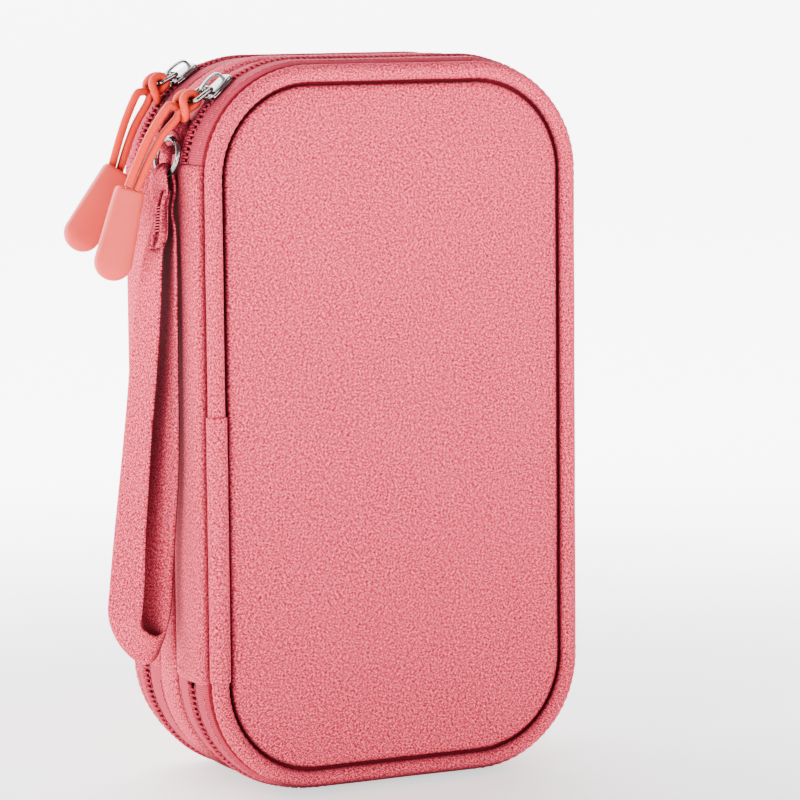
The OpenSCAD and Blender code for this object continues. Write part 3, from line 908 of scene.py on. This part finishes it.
def make_zip(side):
    """Two tapes, two rows of moulded coil and the stitches that hold the coils."""
    sign = SIDE[side]
    ss = stations(ZIP_START - 1.5, ZIP_END + 1.5, 2)
    for name, top, body, node in (
        ("_zip_tape_outer", OUTER_TAPE, side + "_cover", side + "_tape_outer"),
        ("_zip_tape_inner", INNER_TAPE, "middle", side + "_tape_inner"),
    ):
        section = [(a, sign * b) for a, b in strip_section(top, 0.55)]
        seed = 20 + len(name) + (side == "rear")
        tape = sweep(side + name, ss, section, False, lambda s, a, b: a + 0.07 * wavy(s, seed, 40))
        dress(tape, TAPE, "zip_tape", body, node)
    count = int((ZIP_END - ZIP_START) / COIL_PITCH)
    for name, way, shift, body, node in (
        ("_coil_outer", 1, 0.0, side + "_cover", side + "_teeth_outer"),
        ("_coil_inner", -1, 0.5, "middle", side + "_teeth_inner"),
    ):
        shapes = []
        for k in range(count):
            s = ZIP_START + 0.6 + (k + shift) * COIL_PITCH
            _, _, nx, nz = along(s)
            head = place(s, 0.30, sign * (ZIP_Y - way * 0.28))
            tail = place(s, 0.42, sign * (ZIP_Y + way * 1.75))
            shapes.append((head, tail, 0.40, 0.50, (nx, 0, nz)))
        coil = beads(side + name, shapes, COIL, "zip_teeth", body, 8, 3)
        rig.replaces(coil, node)
        line = side_line(ZIP_START, ZIP_END, 0.55, sign * (ZIP_Y + way * 2.35))
        stitches(side + name + "_stitch", line, body, 1.9, 0.15, 0.06, "zip_tape")


def outline_shape(points, count=6):
    """Closed outline through points with rounded stretches, as a list of (x, y)."""
    loop = points + points[:3]
    out = smooth_line([(*p, 0) for p in loop], (len(loop) - 1) * count + 1)
    return [(p[0], p[1]) for p in out[count:count + len(points) * count]]


def plate(outline, levels):
    """Lofted plate: levels are (height, shrink) pairs from the bottom to the top."""
    ring = np.array(outline)
    centre = ring.mean(0)
    size = np.abs(ring - centre).max(0)
    rows = []
    for z, shrink in levels:
        scale = (size - shrink) / size
        rows.append([(*(centre + (p - centre) * scale), z) for p in ring])
    return rows


def add_loft(verts, faces, rows):
    """Adds a closed skin over rings of points, with both ends capped."""
    base, columns = len(verts), len(rows[0])
    verts += [p for row in rows for p in row]
    ring, _ = grid_faces(len(rows), columns, wrap_columns=True)
    faces += [[base + v for v in f] for f in ring]
    faces.append([base + j for j in range(columns)])
    faces.append([base + (len(rows) - 1) * columns + j for j in range(columns)])


def tube_rows(points, radius, up, sides, flat=1.0):
    """Rings of a round or flattened bar along points."""
    rows, count = [], len(points)
    for i, p in enumerate(points):
        d = np.array(points[min(i + 1, count - 1)], float) - np.array(points[max(i - 1, 0)], float)
        d /= np.linalg.norm(d)
        w = np.cross(d, np.array(up, float))
        w /= np.linalg.norm(w)
        n = np.cross(w, d)
        rows.append([
            np.array(p) + radius * (math.cos(a) * w + flat * math.sin(a) * n)
            for a in (2 * math.pi * j / sides for j in range(sides))
        ])
    return rows


def make_slider(side):
    """Cast slider: two waisted plates, side lips, a wedge and an arched bridge."""
    half = [
        (-4.65, 0), (-4.2, 2.2), (-3.0, 3.55), (-1.0, 3.65), (1.0, 3.2),
        (2.8, 2.85), (4.2, 2.65), (4.6, 1.5), (4.65, 0),
    ]
    outline = outline_shape(half + [(x, -y) for x, y in reversed(half[1:-1])])
    verts, faces = [], []
    top = [(1.5, 0.4), (1.56, 0.1), (1.75, 0.0), (2.1, 0.0), (2.32, 0.16), (2.42, 0.5)]
    under = [(-2.4, 0.45), (-2.28, 0.1), (-1.8, 0.0), (-1.62, 0.12), (-1.55, 0.45)]
    for levels in (top, under):
        add_loft(verts, faces, plate(outline, levels))
    for s in (-1, 1):
        lip = [(x, s * (y - 0.3), 1.3) for x, y in half[2:7]]
        add_loft(verts, faces, tube_rows(smooth_line(lip, 14), 0.42, (0, 0, 1), 10))
    wedge = [(-3.6, 0, -1.8), (-3.6, 0, 1.6)]
    add_loft(verts, faces, tube_rows(wedge, 0.5, (1, 0, 0), 10))
    arch = [(-3.35, 2.2), (-3.35, 3.5), (-2.8, 4.5), (0, 4.85), (2.3, 4.5), (3.1, 3.5), (3.2, 2.2)]
    bridge = smooth_line([(x, 0, z) for x, z in arch], 30)
    add_loft(verts, faces, tube_rows(bridge, 0.42, (0, 1, 0), 14, 2.4))
    obj = add_mesh(side + "_zip_slider", on_arc(side, verts), faces)
    dress(obj, NICKEL, "metal", side + "_slider", side + "_slider")


def on_arc(side, verts, pivot=None, lift=0.0):
    """Places slider points: X along the zip, Z away from the pouch."""
    park = math.radians(PARK[side] - 90)
    out = []
    for x, y, z in verts:
        if pivot:
            c, s = math.cos(lift), math.sin(lift)
            x, z = pivot[0] + x * c + z * s, pivot[1] - x * s + z * c
        z += SLIDER_R
        wx = x * math.cos(park) + z * math.sin(park)
        wz = -x * math.sin(park) + z * math.cos(park)
        out.append((ARC_X + wx, SIDE[side] * ZIP_Y + y, ARC_Z + wz))
    return out


def make_puller(side):
    """Bent wire loop between the slider's bridge and the cord."""
    bend, wire, turns = 1.0, 0.68, 14
    near, far, wide = -bend, -ARM + bend, PULLER_HALF - bend
    loop = []
    for cx, cy, start in ((near, wide, 0), (far, wide, 90), (far, -wide, 180), (near, -wide, 270)):
        for k in range(7):
            a = math.radians(start + 15 * k)
            loop.append(np.array((cx + bend * math.cos(a), cy + bend * math.sin(a), 0)))
    angles = [2 * math.pi * j / turns for j in range(turns)]
    verts = []
    for i, point in enumerate(loop):
        d = loop[(i + 1) % len(loop)] - loop[i - 1]
        d /= np.linalg.norm(d)
        w = np.cross(d, (0, 0, 1))
        verts += [point + wire * (math.cos(a) * w + math.sin(a) * np.array((0, 0, 1.0))) for a in angles]
    faces, _ = grid_faces(len(loop), turns, True, True)
    obj = add_mesh(side + "_wire_puller", on_arc(side, verts, PIVOT, LIFT), faces)
    dress(obj, NICKEL, "metal", side + "_puller", side + "_puller")


for side in SIDE:
    make_zip(side)
    make_slider(side)
    make_puller(side)


# ---------------------------------------------------------------- spine and gusset
# Sections of the spine cloth and of half the gusset, as (inset, y) pairs.
SPINE = [
    (2.3, 24.3), (1.2, 24.2), (0.4, 23.6), (-0.15, 22.3), (-0.42, 20), (-0.5, 18), (-0.5, 16.6), (-0.5, 15.5),
    (-0.48, 14.4), (-0.42, 13), (-0.35, 11), (-0.2, 9), (0.05, 7.2), (0.45, 6), (1.1, 5.2),
]
GUSSET = [(1.25, 5.3), (0.75, 5.0), (0.3, 4.3), (0.08, 3.2), (0, 1.6), (0, 0)]


def make_spine(side):
    """One cloth strip from the cover's seam to the gusset, hemmed at both ends; it folds at the zip line."""
    sign = SIDE[side]
    section = strip_section(SPINE[::-1], 1.0)
    start, end = -(BODY_H / 2 - SPINE_LOW) - 0.2, ZIP_START + 0.2
    inner = stations(start + 1.6, end - 1.6, 2.2)
    ss = [start, start + 0.15, start + 0.6, *inner, end - 0.6, end - 0.15, end]

    def hemmed(s, a, b):
        gap = min(s - start, end - s)
        a += 0.55 * math.exp(-gap / 0.35) + 0.16 * math.exp(-((gap - 2.6) / 0.55)**2)
        return a - 0.10 * wavy(s, 31 + sign, 48) * math.exp(-((abs(b) - 15) / 7)**2)

    obj = sweep(side + "_spine_cloth", ss, [(a, sign * b) for a, b in section], False, hemmed)
    dress(obj, SIDE_CLOTH_DEEP_SHADE, "cloth", None, side + "_spine_panel", side + "_spine_strip")
    x = -BODY_W / 2 * MM
    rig.blend(obj, "middle", side + "_cover", start=(x, sign * 13.6 * MM, 0), end=(x, sign * 17.4 * MM, 0))
    flat = ((end - start) * MM, 22.5 * MM)
    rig.sheet(obj, flat=flat, held="stretched", rests_on=["middle_gusset"])


def hem_rows():
    """Stitches along the hems of the spine cloths and beside the gusset."""
    for side, sign in SIDE.items():
        for end, s in (("top", ZIP_START - 2.4), ("low", -(BODY_H / 2 - SPINE_LOW) + 2.4)):
            for body, y0, y1 in (("middle", 6.0, 13.6), (side + "_cover", 17.4, 23.6)):
                def at(t, s=s, y0=y0):
                    _, _, nx, nz = along(s)
                    return place(s, -0.38, sign * (y0 + t)), (nx, 0, nz)
                stitches(f"{side}_hem_{end}_{body}", (y1 - y0, at), body, 2.3, 0.16, 0.02)
        for name, inset, y, body in (("tape", 0.82, 6.9, "middle"), ("cover", 0.92, 22.4, side + "_cover")):
            line = side_line(ZIP_START + 2, ZIP_END - 2, inset, sign * y)
            stitches(f"{side}_{name}_seam", line, body, 2.6, 0.16, 0.05)


def make_gusset():
    """Heathered strip round the middle, pulled in at its two seams."""
    top = [(a, -b) for a, b in GUSSET] + GUSSET[-2::-1]
    section = strip_section(top, 1.1)
    obj = sweep("gusset_cloth", stations(0, GIRTH, 2)[:-1], section, True,
                lambda s, a, b: a + (0.06 * (1 + wavy(s, 41, 30)) if abs(b) > 3 else 0))
    dress(obj, SIDE_CLOTH_DEEP_SHADE, "cloth", "middle", "middle_gusset")


for side in SIDE:
    make_spine(side)
hem_rows()
make_gusset()


# ---------------------------------------------------------------- wrist strap, tab and ring
# Near and far edge of the webbing, from the top of its eye down the outer leaf and back up the inner one.
STRAP_LOOP = [
    ((-57.9, -13.6, 164.3), (-57.9, -8.8, 164.3)), ((-59.0, -15.0, 163.0), (-59.8, -7.6, 163.0)),
    ((-59.1, -15.9, 160.4), (-60.0, -6.9, 160.2)), ((-59.0, -15.8, 157.0), (-59.8, -7.0, 156.8)),
    ((-58.9, -15.2, 153.2), (-59.4, -8.2, 152.8)), ((-59.5, -15.5, 148.8), (-60.1, -6.9, 148.4)),
    ((-60.7, -15.5, 142.4), (-62.1, -6.5, 141.8)), ((-61.1, -15.4, 132.1), (-64.4, -6.6, 131.5)),
    ((-61.8, -15.3, 121.8), (-65.9, -6.7, 121.2)), ((-63.0, -15.3, 109.0), (-67.0, -6.7, 108.2)),
    ((-64.4, -15.2, 96.1), (-68.5, -6.8, 95.3)), ((-65.4, -15.1, 83.2), (-70.1, -6.9, 82.4)),
    ((-66.2, -14.6, 70.2), (-71.8, -7.1, 69.4)), ((-66.5, -13.9, 57.0), (-73.5, -7.5, 56.5)),
    ((-67.2, -13.7, 49.6), (-73.9, -7.0, 48.2)), ((-67.6, -13.4, 46.4), (-71.2, -5.9, 41.6)),
    ((-65.3, -12.6, 44.0), (-67.4, -6.0, 36.8)), ((-62.4, -12.0, 42.8), (-63.7, -6.3, 34.7)),
    ((-60.4, -12.2, 43.8), (-60.6, -6.0, 36.2)), ((-59.2, -12.2, 46.6), (-62.8, -6.0, 40.0)),
    ((-58.3, -12.2, 51.6), (-64.6, -5.6, 48.0)), ((-57.8, -12.7, 61.5), (-64.8, -6.4, 60.0)),
    ((-57.5, -13.6, 69.5), (-64.3, -7.2, 68.3)), ((-57.1, -15.2, 82.8), (-63.2, -8.2, 81.8)),
    ((-57.0, -15.9, 95.9), (-62.0, -8.2, 95.2)), ((-57.0, -16.0, 108.9), (-60.6, -7.6, 108.3)),
    ((-57.0, -16.0, 121.9), (-59.0, -6.9, 121.4)), ((-56.9, -16.0, 132.0), (-58.2, -6.8, 131.6)),
    ((-56.8, -15.9, 141.0), (-57.6, -6.7, 140.8)), ((-56.8, -15.6, 148.5), (-57.4, -7.0, 148.4)),
    ((-57.2, -14.9, 153.2), (-57.5, -8.2, 153.2)), ((-56.6, -15.2, 158.0), (-56.7, -7.0, 158.0)),
    ((-56.5, -14.9, 161.3), (-56.5, -7.4, 161.3)), ((-56.9, -14.0, 163.4), (-56.9, -8.4, 163.4)),
]
# The raw end of the webbing, gathered under the bar tack.
STRAP_TAIL = [
    ((-58.2, -15.9, 158.6), (-60.3, -13.6, 158.4)), ((-59.1, -16.2, 155.0), (-61.3, -12.6, 154.8)),
    ((-59.3, -16.2, 151.0), (-61.8, -12.1, 150.8)), ((-59.5, -16.2, 147.0), (-62.8, -11.8, 146.6)),
    ((-60.6, -16.1, 144.2), (-63.3, -12.1, 143.4)),
]


# Points across one face of the webbing, and the number of the last, at its far edge.
ACROSS = 11
FAR = ACROSS - 1


def smooth_loop(points, count):
    """Closed Catmull-Rom curve through points."""
    p = [np.array(v, float) for v in points]
    n, out = len(p), []
    for k in range(count):
        t = k * n / count
        i = int(t)
        out.append(curve_point(*(p[(i + m - 1) % n] for m in range(4)), t - i))
    return out


def ribbon(name, edges, count, thick, closed, pleat=0.0):
    """Webbing between two edge curves, with rolled selvedges; pleat is the depth of its gathers."""
    curve = smooth_loop if closed else smooth_line
    near, far = (np.array(curve([e[k] for e in edges], count)) for k in (0, 1))
    middle = (near + far) / 2
    ahead = np.roll(middle, -1, 0) - np.roll(middle, 1, 0) if closed else np.gradient(middle, axis=0)
    steps = np.linalg.norm(np.roll(middle, -1, 0) - middle, axis=1)
    us = np.concatenate([[0], np.cumsum(steps)])
    rows = []
    for i in range(count):
        w = far[i] - near[i]
        width = np.linalg.norm(w)
        n = np.cross(ahead[i], w)
        n /= np.linalg.norm(n)
        gather = max(0.0, 8.8 - width) * 0.16 + pleat
        line = []
        for face in (1, -1):
            for j in range(ACROSS):
                f = j / FAR if face == 1 else 1 - j / FAR
                round_off = 1 - 0.55 * abs(2 * f - 1)**7
                fold = gather * math.sin(f * 15.0 + 0.6 * wavy(us[i], 51, 60))
                sag = 0.10 * wavy(us[i] + 9 * f, 52, 55)
                line.append(near[i] + w * f + n * (face * thick / 2 * round_off + fold + sag))
        rows.append(line)
    vs = [*np.linspace(0, 9.5, ACROSS), *np.linspace(9.5, 0, ACROSS), 0]
    size = count + 1 if closed else count
    obj = lattice(name, rows, list(us[:size]), vs, closed)
    return obj, rows, us


def make_strap():
    """Folded webbing loop with its raw tail, the bar tack and the stitches along its edges."""
    obj, rows, us = ribbon("wrist_strap_webbing", STRAP_LOOP, 190, 1.25, True)
    dress(obj, STRAP_CLOTH_DEEP_SHADE, "cloth", "wrist_strap", "wrist_strap")
    length = us[-1]
    widths = [np.linalg.norm(row[FAR] - row[0]) for row in rows]
    tail, _, _ = ribbon("wrist_strap_tail", STRAP_TAIL, 22, 1.1, False, 0.35)
    dress(tail, STRAP_CLOTH_DEEP_SHADE, "cloth", "wrist_strap")
    area = length * sum(widths) / len(widths) * MM * MM
    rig.sheet(obj, flat=(10 * MM, length * MM), held="hung", rests_on=["strap_ring"], area=area,
             with_pieces=[tail])
    shapes = []
    for k in range(9):
        z = 154.6 - 0.75 * k
        left, right = (-60.2 - 0.05 * k, -16.0, z), (-62.1 - 0.06 * k, -12.6, z - 0.5)
        shapes.append((left, right, 0.2, 0.2, (-0.8, -0.6, 0)))
    beads("wrist_strap_bar_tack", shapes, THREAD, "cloth", "wrist_strap", 6, 3)
    edge = []
    for share in (0.13, 0.87):
        points = [row[0] + (row[FAR] - row[0]) * share for row in rows]
        count = len(rows)
        for i in range(18, count - 22, 2):
            p, q = points[i], points[(i + 1) % count]
            normal = np.cross(rows[i][FAR] - rows[i][0], q - p)
            normal /= np.linalg.norm(normal)
            outward = 1 if normal @ (rows[i][0] - rows[i][-1]) > 0 else -1
            lift = normal * outward * 0.06
            edge.append((p + lift, p + (q - p) * 0.85 + lift, 0.15, 0.13, normal))
    beads("wrist_strap_edge_stitch", edge, THREAD, "cloth", "wrist_strap", 6, 2)


# Section of the tab from its hole (0) to its rim (1), with the height of its face.
TAB_FACE = [(0, 0.0), (0, 0.75), (0.1, 1.0), (0.35, 1.08), (0.6, 1.3), (0.8, 1.42), (0.93, 1.1), (1.0, 0.0)]


def make_tab():
    """Padded cloth tab with a punched hole, longer towards the side seam that it is sewn into."""
    cx, cy, cz = -56.0, -10.8, 171.7
    hole, rim, tail, rim_edge = 2.05, 4.25, 3.6, 1.9
    lean_x, lean_z = math.cos(math.radians(62)), math.sin(math.radians(62))
    section = TAB_FACE + [(f, -h) for f, h in reversed(TAB_FACE[1:-1])]
    count = 72
    rows = []
    for k in range(count):
        t = 2 * math.pi * k / count
        dx, dz = math.cos(t), math.sin(t)
        reach = rim
        lean = dx * lean_x + dz * lean_z
        if lean > 0:
            reach += tail * lean**2.2
        while edge_distance(cx + reach * dx, cz + reach * dz) > rim_edge:
            reach -= 0.1
        ring = []
        for f, h in section:
            r = hole + (reach - hole) * f
            ripple = 0.06 * math.sin(9 * t + 2) * (f > 0.5)
            ring.append((cx + r * dx, cy + (h + ripple) * 1.02, cz + r * dz))
        rows.append(ring)
    us, vs = np.linspace(0, 26, count + 1), np.linspace(0, 9, len(section) + 1)
    tab = lattice("strap_tab_cloth", rows, us, vs, True)
    dress(tab, CLOTH, "cloth", "middle", "strap_tab")
    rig.padded(tab, fill=0.7)


make_strap()
make_tab()


# ---------------------------------------------------------------- inside
def half_width(z, inset):
    """Half of the width inside the side's outline at height z."""
    reach = CORNER_R - inset
    rise = max(CORNER_R - z, z - (BODY_H - CORNER_R), 0)
    return BODY_W / 2 - CORNER_R + math.sqrt(max(reach**2 - rise**2, 0))


def make_lining(side):
    """Tray lining: a short wall that turns into a loosely stretched floor."""
    wall = [(1.25, 17.4), (1.6, 18.6), (1.95, 20.4), (2.1, 21.8), (2.5, 22.7), (3.3, 23.15)]
    seed = 61 if side == "front" else 65

    def height(d, y, s, x, z):
        slack = min(1, max(0, (d - 3) / 6))
        y -= slack * (0.22 + 0.3 * wavy(x * 0.8 + z, seed, 60) * wavy(x - z * 0.7, seed + 1, 90))
        return y - 0.12 * wavy(s, seed + 2, 9) * math.exp(-((d - 3.3) / 2.2)**2)

    profile = wall + [(d, 23.25) for d in [4.5, 6, 8] + PANEL_DEPTHS]
    obj = cover_sheet(side + "_tray_lining", profile, SIDE[side], height, lambda x, y, z: (x + y * 0.3, z))
    dress(obj, LINING, "lining", side + "_cover", side + "_lining")
    wall_tall, rounding = 7.2, 0.86 * (CORNER_R - 2.5)**2
    flat_area = (BODY_W - 5) * (BODY_H - 5) - rounding + wall_tall * GIRTH * 0.98
    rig.sheet(obj, flat=((BODY_W + 12) * MM, (BODY_H + 12) * MM), area=flat_area * MM * MM,
             held="stretched", rests_on=[side + "_foam"])


# Height of each tray pocket's mouth, and the seed of its slack.
POCKETS = {"front": (128.0, 81), "rear": (144.0, 91)}


def pocket_y(side, x, z):
    """How far out a tray pocket's net lies at (x, z)."""
    top, seed = POCKETS[side]
    d = edge_distance(x, z)
    wall = 4.6 * math.exp(-(max(d - 2.85, 0) / 1.7)**1.4)
    loose = min(1, max(0, (d - 5) / 14))
    slack = 0.5 * wavy(x * 0.9 + z * 0.5, seed, 66) + 0.35 * wavy(z - x * 0.4, seed + 1, 40)
    mouth = math.exp(-(top - z) / 9)
    gather = 0.28 * math.sin(x * 1.55 + wavy(x, seed + 2, 30)) * mouth * min(1, max(0, (d - 3) / 6))
    return 18.35 + wall - loose * slack * 0.6 * (1 - 0.7 * mouth) + gather


def make_pocket(side):
    """Net pocket in a tray, gusseted at its walls and gathered into its elastic top."""
    sign = SIDE[side]
    top, _ = POCKETS[side]
    corners = 3.0 + 27 * (1 - np.cos(np.linspace(0, math.pi / 2, 20)))
    across = 0.5 - 0.5 * np.cos(np.linspace(0, math.pi, 75))
    rows = []
    for z in [*corners, *np.arange(31.5, top - 0.3, 1.5), top - 0.2]:
        xs = half_width(z, 2.85) * (2 * across - 1)
        rows.append([(x, sign * pocket_y(side, x, z), z) for x in xs])
    obj = cloth_grid(side + "_net_pocket", rows)
    return dress(obj, NET, "mesh", side + "_cover", side + "_mesh_pocket")


def declare_pocket(obj, side, bands):
    """The net's cut: wider than the tray by its two gusset walls."""
    top, _ = POCKETS[side]
    area = sum(2 * half_width(z, 2.85) * 1.02 + 8 for z in np.arange(3, top, 1.0)) + 2 * 80
    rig.sheet(obj, flat=(116 * MM, (top + 6) * MM), area=area * MM * MM,
             held="gathered", rests_on=[side + "_tray_lining"], with_pieces=bands)


# Section of the elastic tape: share of its width, and height above the net.
BAND = [(0.0, -0.1), (0.02, 0.34), (0.12, 0.5), (0.5, 0.56), (0.88, 0.5), (0.98, 0.34), (1.0, -0.1)]
BAND_W = 7.0
BAND_VS = [g * BAND_W for g, _ in BAND]


def make_band(name, side, low, node):
    """Elastic tape sewn from wall to wall, its lower edge at height low, with two rows of stitches."""
    sign = SIDE[side]
    count = 90
    rows = []
    for k in range(count):
        f = k / (count - 1)
        row = []
        for g, h in BAND:
            z = low + g * BAND_W
            wide = half_width(z, 3.1)
            x = -wide + 2 * wide * (0.5 - 0.5 * math.cos(math.pi * f))
            h += 0.07 * math.sin(x * 2.1) * (0.1 < g < 0.9)
            row.append((x, sign * (pocket_y(side, x, z) - h), z))
        rows.append(row)
    crest = [row[3] for row in rows]
    obj = lattice(name, rows, [x for x, _, _ in crest], BAND_VS, wrap_columns=False)
    dress(obj, ELASTIC, "elastic", side + "_cover", node)
    for level, g in (("low", 0.14), ("high", 0.86)):
        line = [np.array((x, y + sign * 0.02, low + g * BAND_W)) for x, y, _ in crest]
        shapes = []
        for p, q in zip(line[2:-3:2], line[3:-2:2]):
            shapes.append((p, p + (q - p) * 0.8, 0.14, 0.14, (0, -sign, 0)))
        beads(f"{name}_stitch_{level}", shapes, GREY_THREAD, "elastic", side + "_cover", 6, 2)
    return obj


def make_upright_band():
    """Elastic tape that stands on the front net and divides its lower pocket."""
    left = 4
    xs = [left + v for v in BAND_VS]
    us = np.arange(3.4, POCKETS["front"][0] - 7.2, 1.4)
    rows = [[(x, -(pocket_y("front", x, z) - h - 0.25), z) for x, (_, h) in zip(xs, BAND)] for z in us]
    obj = lattice("front_upright_elastic", rows, us, BAND_VS, wrap_columns=False)
    return dress(obj, ELASTIC, "elastic", "front_cover", "front_pocket_upright_band")


def make_page():
    """Stiff middle page covered in lining cloth on both faces."""
    edge = [(2.0, 0.0), (2.05, 0.8), (2.5, 1.3), (3.4, 1.48)]
    profile = edge + [(d, 1.5) for d in (5, 8, 12, 18, 24, 30, 38, 46, BODY_W / 2)]

    def height(d, y, s, x, z):
        return y + 0.12 * min(1, max(0, (d - 4) / 5)) * wavy(x + 0.6 * z, 71, 80)

    for side, sign in SIDE.items():
        obj = cover_sheet(side + "_page_cloth", profile, sign, height)
        replaced = ("divider_page",) if side == "front" else ()
        dress(obj, LINING, "lining", "middle", *replaced)
        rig.padded(obj, fill=1.0)


# The lower edge of each page pocket, the ends of the pockets in X and their height.
PAGE_POCKETS = {"top": 123.0, "middle": 71.0, "bottom": 19.0}
PAGE_X = (-46.0, 37.5)
PAGE_TALL = 50
# Section of a page pocket's elastic edge: distance past the mouth, and height above the cloth.
PAGE_EDGE = [
    (-1.2, 0.25), (-0.9, 0.5), (0, 0.62), (0.9, 0.5), (1.3, 0), (0.9, -0.5), (-0.6, -0.55), (-1.1, -0.2),
]


def page_bulge(x, z, low, seed):
    """Height of a gathered page pocket off the page."""
    f, g = (x - PAGE_X[0]) / (PAGE_X[1] - PAGE_X[0]), (z - low) / PAGE_TALL
    across = math.sin(math.pi * min(1, max(0, g)))**0.55
    rise = (1 - math.exp(-f * 9)) * (0.55 + 0.45 * f**0.7)
    pleats = math.sin(g * 44 + 1.2 * wavy(g * PAGE_TALL, seed, 30) + 0.4 * wavy(x, seed + 1, 40))
    edge = 0.20 + 0.55 * math.exp(-(1 - f) * 7) + 0.45 * math.exp(-f * 10)
    slack = 0.35 * wavy(x + z, seed + 2, 45)
    return 0.12 + across * (3.75 * rise + 0.5 * edge * pleats * min(1, f * 12) + slack * min(1, f * 6))


def make_page_pocket(name, low, seed):
    """Gathered pocket on the page, open toward the mouth, with its elastic edge."""
    heights = PAGE_TALL * np.linspace(0, 1, 110)
    zs = low + heights
    face, end = -1.6, PAGE_X[1]
    rows = []
    for x in np.linspace(*PAGE_X, 80):
        rows.append([(x, face - page_bulge(x, z, low, seed), z) for z in zs])
    obj = cloth_grid(f"page_pocket_{name}_cloth", rows, False, lambda x, y, z: (x, z * 1.2))
    dress(obj, GATHER, "lining", "middle", "page_pocket_" + name)
    wide = sum(math.dist(a, b) for a, b in zip(rows[60], rows[60][1:]))
    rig.sheet(obj, flat=((PAGE_X[1] - PAGE_X[0] + 5) * MM, wide * 1.06 * MM),
             area=(PAGE_X[1] - PAGE_X[0] + 3.5) * wide * 0.985 * MM * MM,
             held="gathered", rests_on=["front_page_cloth"])
    rows = []
    for z in zs:
        y = face - page_bulge(end, z, low, seed)
        rows.append([(end + dx, y - lift, z) for dx, lift in PAGE_EDGE])
    edge = lattice(f"page_pocket_{name}_elastic", rows, heights, range(9))
    return dress(edge, ELASTIC, "elastic", "middle")


for side in SIDE:
    make_lining(side)
net = make_pocket("front")
declare_pocket(net, "front", [
    make_band("front_top_elastic", "front", 121.2, "front_pocket_top_band"),
    make_band("front_cross_elastic", "front", 62.0, "front_pocket_cross_band"),
    make_upright_band(),
])
net = make_pocket("rear")
declare_pocket(net, "rear", [make_band("rear_top_elastic", "rear", 137.2, "rear_pocket_band")])
make_page()
edges = [make_page_pocket(name, low, 100 + 7 * k) for k, (name, low) in enumerate(PAGE_POCKETS.items())]
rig.replaces(edges[0], "page_pocket_bands")

for name, material in (("front_foam", FOAM), ("rear_foam", FOAM), ("strap_ring", NICKEL)):
    node = frame["nodes"][name]
    node.data.materials.clear()
    node.data.materials.append(material)


# ---------------------------------------------------------------- floor and light
def make_stage():
    """Pale sweep that glows more with distance: a white background, and little light from below; its dimmer glow near
    the middle is a painted soft shadow round the object's base.
    """
    n = Nodes("studio_floor")
    place = n.add("TexCoord").outputs["Object"]
    flat = n.add("VectorMath", {0: place, 1: (1.0, 1.0, 0.4)}, operation="MULTIPLY").outputs[0]
    away = n.add("VectorMath", {0: flat}, operation="LENGTH").outputs["Value"]
    inputs = {"Value": away, "From Min": 0.10, "From Max": 0.62, "To Min": 1.1, "To Max": 5.5}
    glow = n.add("MapRange", inputs, interpolation_type="SMOOTHSTEP").outputs[0]
    n.set(Base_Color=(0.94, 0.94, 0.94, 1), Roughness=0.9, Specular_IOR_Level=0.1)
    n.set(Emission_Color=(1, 1, 1, 1), Emission_Strength=glow)
    rows = []
    for y, z in [(-3, 0), (-1, 0), (0.6, 0), (0.9, 0.02), (1.1, 0.1), (1.2, 0.25), (1.25, 0.6), (1.25, 2.5)]:
        rows.append([(x * METRE, y * METRE, z * METRE) for x in np.linspace(-3, 3, 13)])
    floor = lattice("floor", rows, range(len(rows)), range(13), wrap_columns=False)
    floor.data.materials.append(n.mat)
    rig.stage(floor)


def area_light(name, place_at, aim, size, power, colour=(1, 1, 1)):
    data = bpy.data.lights.new(name, "AREA")
    data.shape, data.size, data.energy, data.color = "DISK", size, power, colour
    lamp = bpy.data.objects.new(name, data)
    lamp.location = place_at
    lamp.rotation_mode = "QUATERNION"
    lamp.rotation_quaternion = (Vector(aim) - Vector(place_at)).to_track_quat("-Z", "Y")
    bpy.context.scene.collection.objects.link(lamp)


def make_light():
    world = bpy.data.worlds.new("studio")
    world.use_nodes = True
    world.node_tree.nodes["Background"].inputs["Color"].default_value = (1, 1, 1, 1)
    world.node_tree.nodes["Background"].inputs["Strength"].default_value = 0.22
    bpy.context.scene.world = world
    area_light("key", (-1.68, -0.89, 0.5), (0, 0, 0.09), 0.25, 26)
    area_light("fill", (0.35, -1.8, 0.55), (0, 0, 0.09), 0.9, 17)
    area_light("top", (-0.2, 0.1, 1.3), (0, 0, 0.1), 0.5, 2.5)


make_stage()
make_light()

size = {"cad": CAD_BOX, "visual": [list(v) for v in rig.bounds()]}
with open("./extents.json", "w") as f:
    json.dump(size, f)
